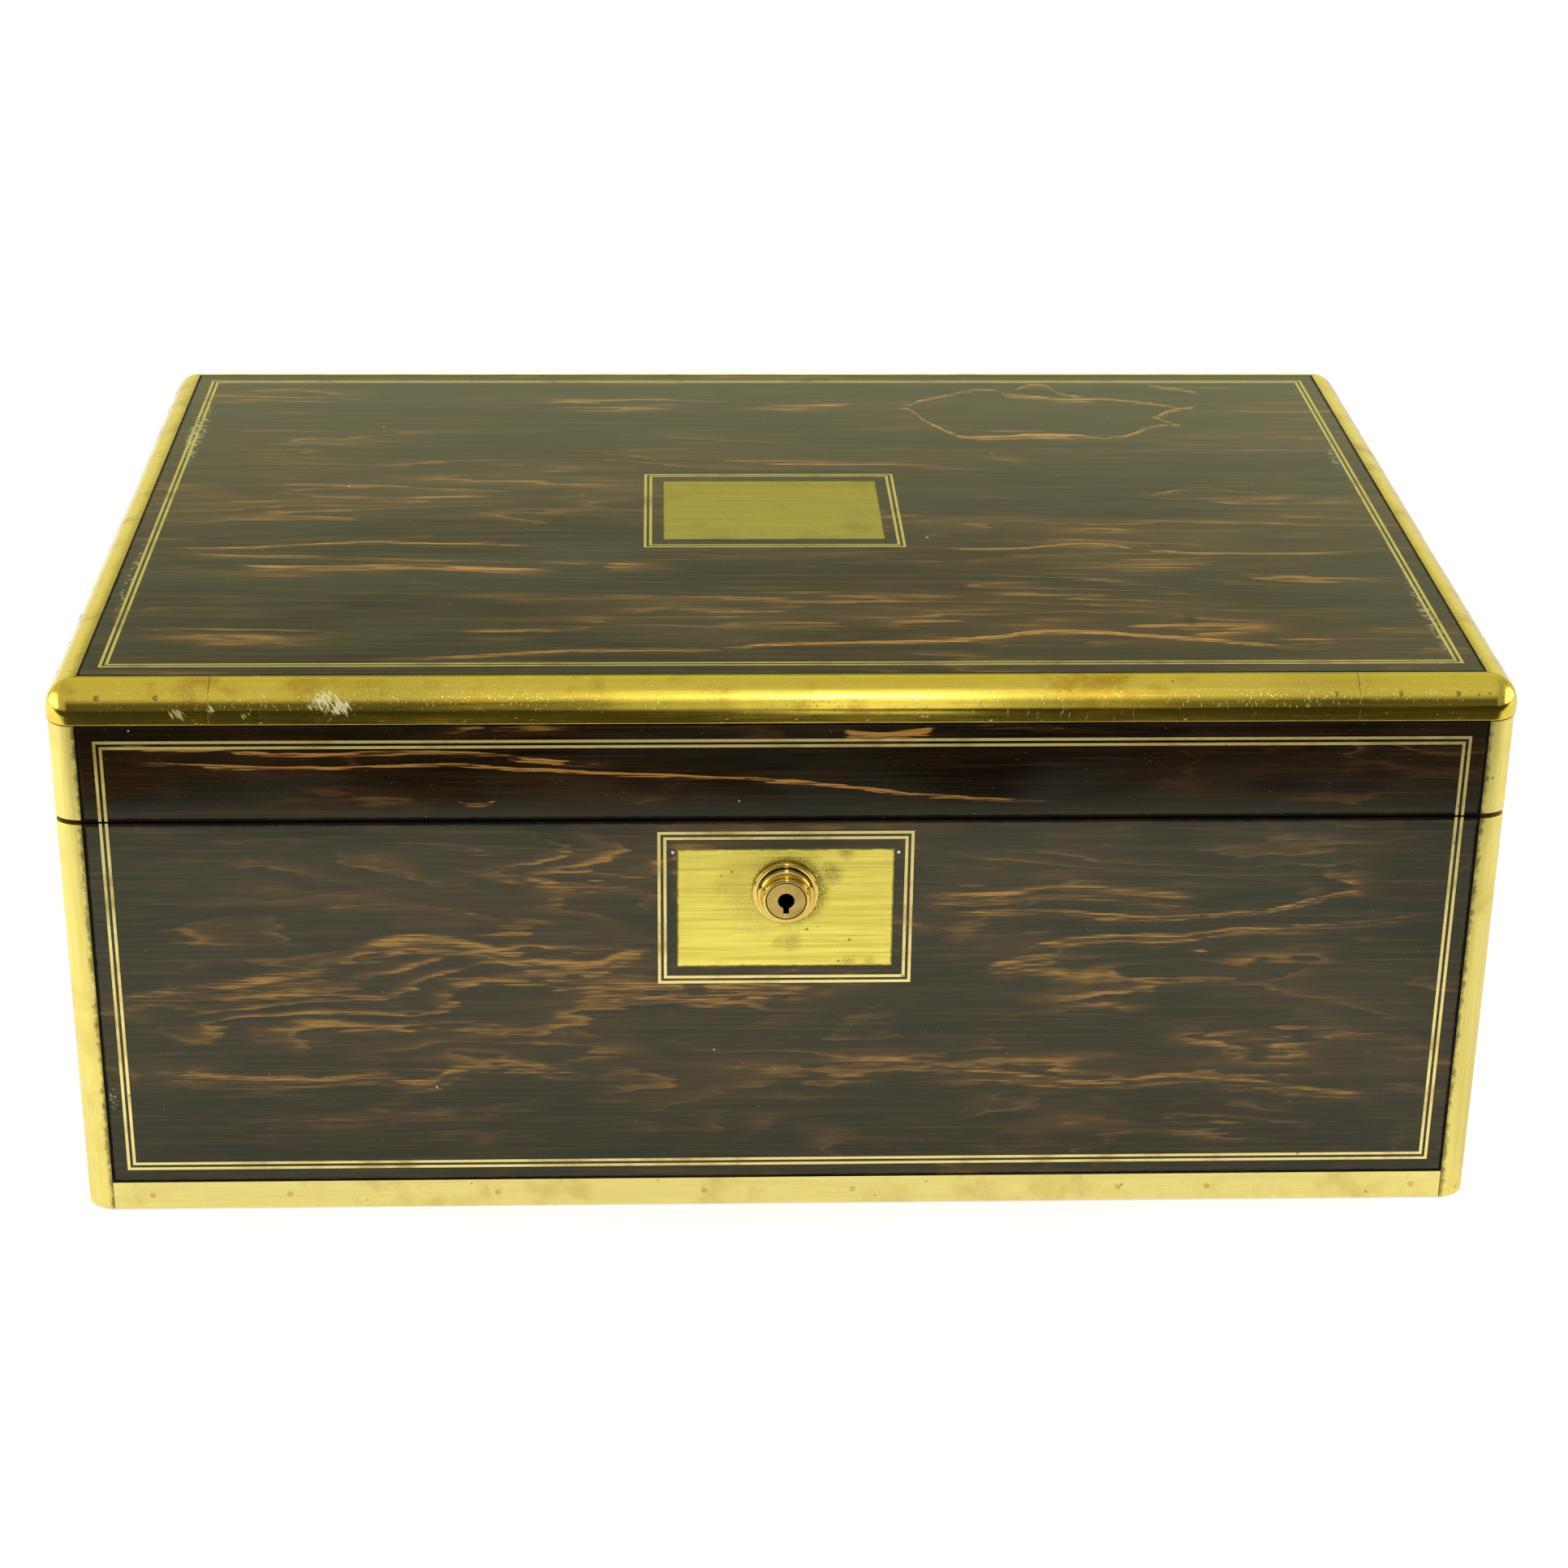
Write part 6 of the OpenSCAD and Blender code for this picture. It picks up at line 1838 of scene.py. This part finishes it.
@dataclass
class Carcass:
    """The wooden box under the veneers, and the baize on its underside."""

    inset: float = 2.0  # how far the baize stays inside the box's faces
    post: float = 8.35  # reach of a corner angle along a face
    wall: float = 3.8  # thickness of a corner angle
    baize_t: float = 0.8  # thickness of the baize

    def baize(self) -> Shape:
        """The baize: a sheet with its corners cut out for the corner angles.

        The grid has lines on each cut, and the faces inside the angles are left out.
        """
        xs, ys = (np.concatenate([[-half + self.inset, -half + self.wall, -half + self.post],
                                  np.linspace(-half + 20, half - 20, 30),
                                  [half - self.post, half - self.wall, half - self.inset]])
                  for half in (HALF_W, HALF_D))
        x, y = np.meshgrid(xs, ys)
        mid_x = HALF_W - abs((xs[1:] + xs[:-1]) / 2)[None, :]
        mid_y = HALF_D - abs((ys[1:] + ys[:-1]) / 2)[:, None]
        angle = (mid_x < self.post) & (mid_y < self.post) & ((mid_x < self.wall) | (mid_y < self.wall))
        nap = 0.04 * np.sin(x / 9) * np.sin(y / 7)
        return slab(x, y, np.full_like(x, self.baize_t), 0.05 + nap, ~angle)

    def build(self) -> None:
        """Makes the baize and dresses the walls and boards."""
        piece = put_piece("baize_sheet", self.baize(), BaizeFinish("green_baize"), "base",
                          ["underside_baize"])
        for part in ("base_", "lid_"):
            dress([part + "front_wall", part + "back_wall"], MAHOGANY)
            dress([part + "left_wall", part + "right_wall"], MAHOGANY_SIDE)
        dress(["lid_top_board"], MAHOGANY)
        dress(["base_bottom_board"], PINE)


# ---------------------------------------------------------------- studio


@dataclass(frozen=True)
class Camera:
    """The photograph's view: direction, roll, place and lens."""

    azimuth: float = 2.320  # turn from the lock face, in degrees
    elevation: float = 24.770  # height above the horizon, in degrees
    roll: float = 0.715  # tilt of the picture, in degrees
    place: Vec = (-34.1, -965.1, 515.2)  # where the lens is, in millimetres
    lens: float = 75.169  # focal length over the sensor
    sensor: float = 36.0  # width of the sensor in millimetres
    reach: Place = (0.05, 40.0)  # nearest and farthest distance that is seen, in metres

    def build(self) -> None:
        """Places the camera by its right, up and backward axes, turned by the roll."""
        turn, tilt, roll = (math.radians(v) for v in (self.azimuth, self.elevation, self.roll))
        forward = Vector((math.sin(turn) * math.cos(tilt), math.cos(turn) * math.cos(tilt), -math.sin(tilt)))
        level = forward.cross(Vector((0, 0, 1))).normalized()
        upright = level.cross(forward)
        right = math.cos(roll) * level + math.sin(roll) * upright
        up = math.cos(roll) * upright - math.sin(roll) * level
        data = bpy.data.cameras.new("camera")
        data.lens, data.sensor_width, data.sensor_fit = self.lens, self.sensor, "HORIZONTAL"
        data.clip_start, data.clip_end = self.reach
        made = bpy.data.objects.new("camera", data)
        axes = Matrix((right, up, -forward)).transposed().to_4x4()
        made.matrix_world = Matrix.Translation(Vector(self.place) * MM) @ axes
        bpy.context.scene.collection.objects.link(made)
        bpy.context.scene.camera = made


@dataclass(frozen=True)
class SoftLamp:
    """A lamp with a rectangle of light that looks at the box, and may show in reflections."""

    name: str
    place: Vec
    size: Place
    power: float
    mirrored: bool = False
    target: Vec = (0, 0, 0.08)

    def build(self) -> None:
        """Places the lamp and points it at the box."""
        data = bpy.data.lights.new(self.name, "AREA")
        data.shape, data.energy = "RECTANGLE", self.power
        data.size, data.size_y = self.size
        made = bpy.data.objects.new(self.name, data)
        made.visible_glossy = self.mirrored
        turn = (Vector(self.target) - Vector(self.place)).to_track_quat("-Z", "Y").to_matrix().to_4x4()
        made.matrix_world = Matrix.Translation(Vector(self.place)) @ turn
        bpy.context.scene.collection.objects.link(made)


WHITE = (1, 1, 1, 1)


@dataclass(frozen=True)
class Studio:
    """White paper, plain soft light, and a room that is darker behind the camera."""

    floor_size: float = 30.0  # side of the floor in metres
    floor_z: float = -0.0005  # height of the floor, just under the box, in metres
    paper_front: float = -0.405  # where the white paper ends in reflections, in metres along Y
    paper: Colour = (0.8, 0.8, 0.8, 1)  # colour of the paper
    dusk: Colour = (0.05, 0.045, 0.035, 1)  # colour of the floor past the paper in reflections
    warmth: Colour = (0.97, 1, 0.58, 1)  # tint of the light behind the box in reflections
    ambient: float = 0.5  # strength of the plain light round the box
    # the lamps
    lamps: tuple[SoftLamp, ...] = (
        SoftLamp("key_lamp", (0.10, -1.2, 1.25), (0.08, 0.4), 0.95, True),
        SoftLamp("top_lamp", (0.0, 0.3, 1.9), (1.6, 1.2), 14.0),
        SoftLamp("left_lamp", (-1.5, -0.25, 0.75), (0.5, 0.9), 10.0),
        SoftLamp("right_lamp", (1.5, -0.25, 0.75), (0.5, 0.9), 10.0))

    def build(self) -> None:
        """Builds the world, the floor and the lamps."""
        bpy.context.scene.view_settings.view_transform = "Standard"
        self.surroundings()
        self.floor()
        for lamp in self.lamps:
            lamp.build()
        LOG.info("studio with %d lamps", len(self.lamps))

    def surroundings(self) -> None:
        """White for the camera, plain light for the object, and a shaded room for reflections.

        The reflected room is dark low down in front, half bright low down behind and white at the
        sides and overhead. A narrow window stands in front, and a bright one on either side.
        """
        world = bpy.data.worlds.new("surroundings")
        bpy.context.scene.world = world
        world.use_nodes = True
        world.node_tree.nodes.clear()
        graph = Graph(world.node_tree)
        path = graph.wires(graph.node("LightPath"))
        right, ahead, height = graph.wire("TexCoord", out="Generated").parts()
        side, aside = abs(right), abs(right - 0.06)
        front = ahead.fall(-0.55, -0.15) * height.fall(0.35, 0.75) * side.step(0.38, 0.6, 1.0, 0.15)
        back = ahead.step(0.2, 0.5)
        beside = side.step(0.08, 0.36, 1.0, 0.5)
        shaded = back * beside * height.step(0.24, 0.38) * height.fall(0.45, 0.62)
        over = (height + ahead.fall(-0.5, -0.1, 0.7)).step(0.52, 0.7)
        room = 0.95 + front * -0.6 + shaded * -0.6 + over * -0.27 + right.step(0.3, 0.8) * -0.25
        window = aside.fall(0.02, 0.07) * ahead.fall(-0.45, -0.25)
        halo = aside.fall(0.02, 0.12) * height.step(0.6, 0.75) * ahead.fall(-0.25, -0.1)
        room = (room | 0.11) + window * 1.3 + halo * 0.16 + side.step(0.82, 0.94, 0.0, 2.4)
        seen = path["Is Camera Ray"] | path["Is Transmission Ray"]
        glossy = path["Is Glossy Ray"]
        strength = self.ambient + seen * (1 - self.ambient) + glossy * (room - self.ambient)
        tint = (back * glossy).mix(WHITE, self.warmth)
        graph.node("OutputWorld", {"Surface": graph.wire("Background", {"Color": tint, "Strength": strength})})

    def floor(self) -> None:
        """White paper that keeps the object's shadow; reflections see it end in front of the box."""
        paint = Paint("studio_paper")
        path = paint.wires(paint.node("LightPath"))
        glossy = path["Is Glossy Ray"]
        place = paint.object_place()
        right, ahead, _ = place.parts()
        window = abs(right - 0.055).fall(0.02, 0.06) * ahead.fall(-0.62, -0.54, 0.8)
        ended = ahead.fall(self.paper_front - 0.02, self.paper_front) - window
        beyond = (ended | right.step(0.19, 0.25, 0.0, 0.25)) * glossy
        clear = path["Is Camera Ray"] | path["Is Transmission Ray"] | glossy * 0.8
        glow = place.length().step(0.7, 2.5, 0.45, 0.75)
        paint.set(Base_Color=beyond.mix(self.paper, self.dusk), Roughness=1.0, Specular_IOR_Level=0.0,
                  Emission_Color=WHITE, Emission_Strength=clear * (1.0 - beyond) * glow)
        corners = np.array([[-1, -1], [1, -1], [1, 1], [-1, 1]]) * self.floor_size / 2
        mesh = bpy.data.meshes.new("studio_floor")
        mesh.from_pydata([(x, y, self.floor_z) for x, y in corners.tolist()], [], [(0, 1, 2, 3)])
        mesh.materials.append(paint.material)
        made = bpy.data.objects.new("studio_floor", mesh)
        bpy.context.scene.collection.objects.link(made)


def main() -> None:
    """Builds the camera, the studio and the box, and logs each part as it is built."""
    logging.basicConfig(level=logging.INFO, format="%(name)s %(message)s")
    for part in (Camera(), Studio(), Rim(), CornerPosts(), Skins(), Lock(), Hinges(), WritingFlaps(),
                 PenCompartment(), Carcass()):
        part.build()
        LOG.info("built %s", type(part).__name__)


if __name__ == "__main__":
    main()
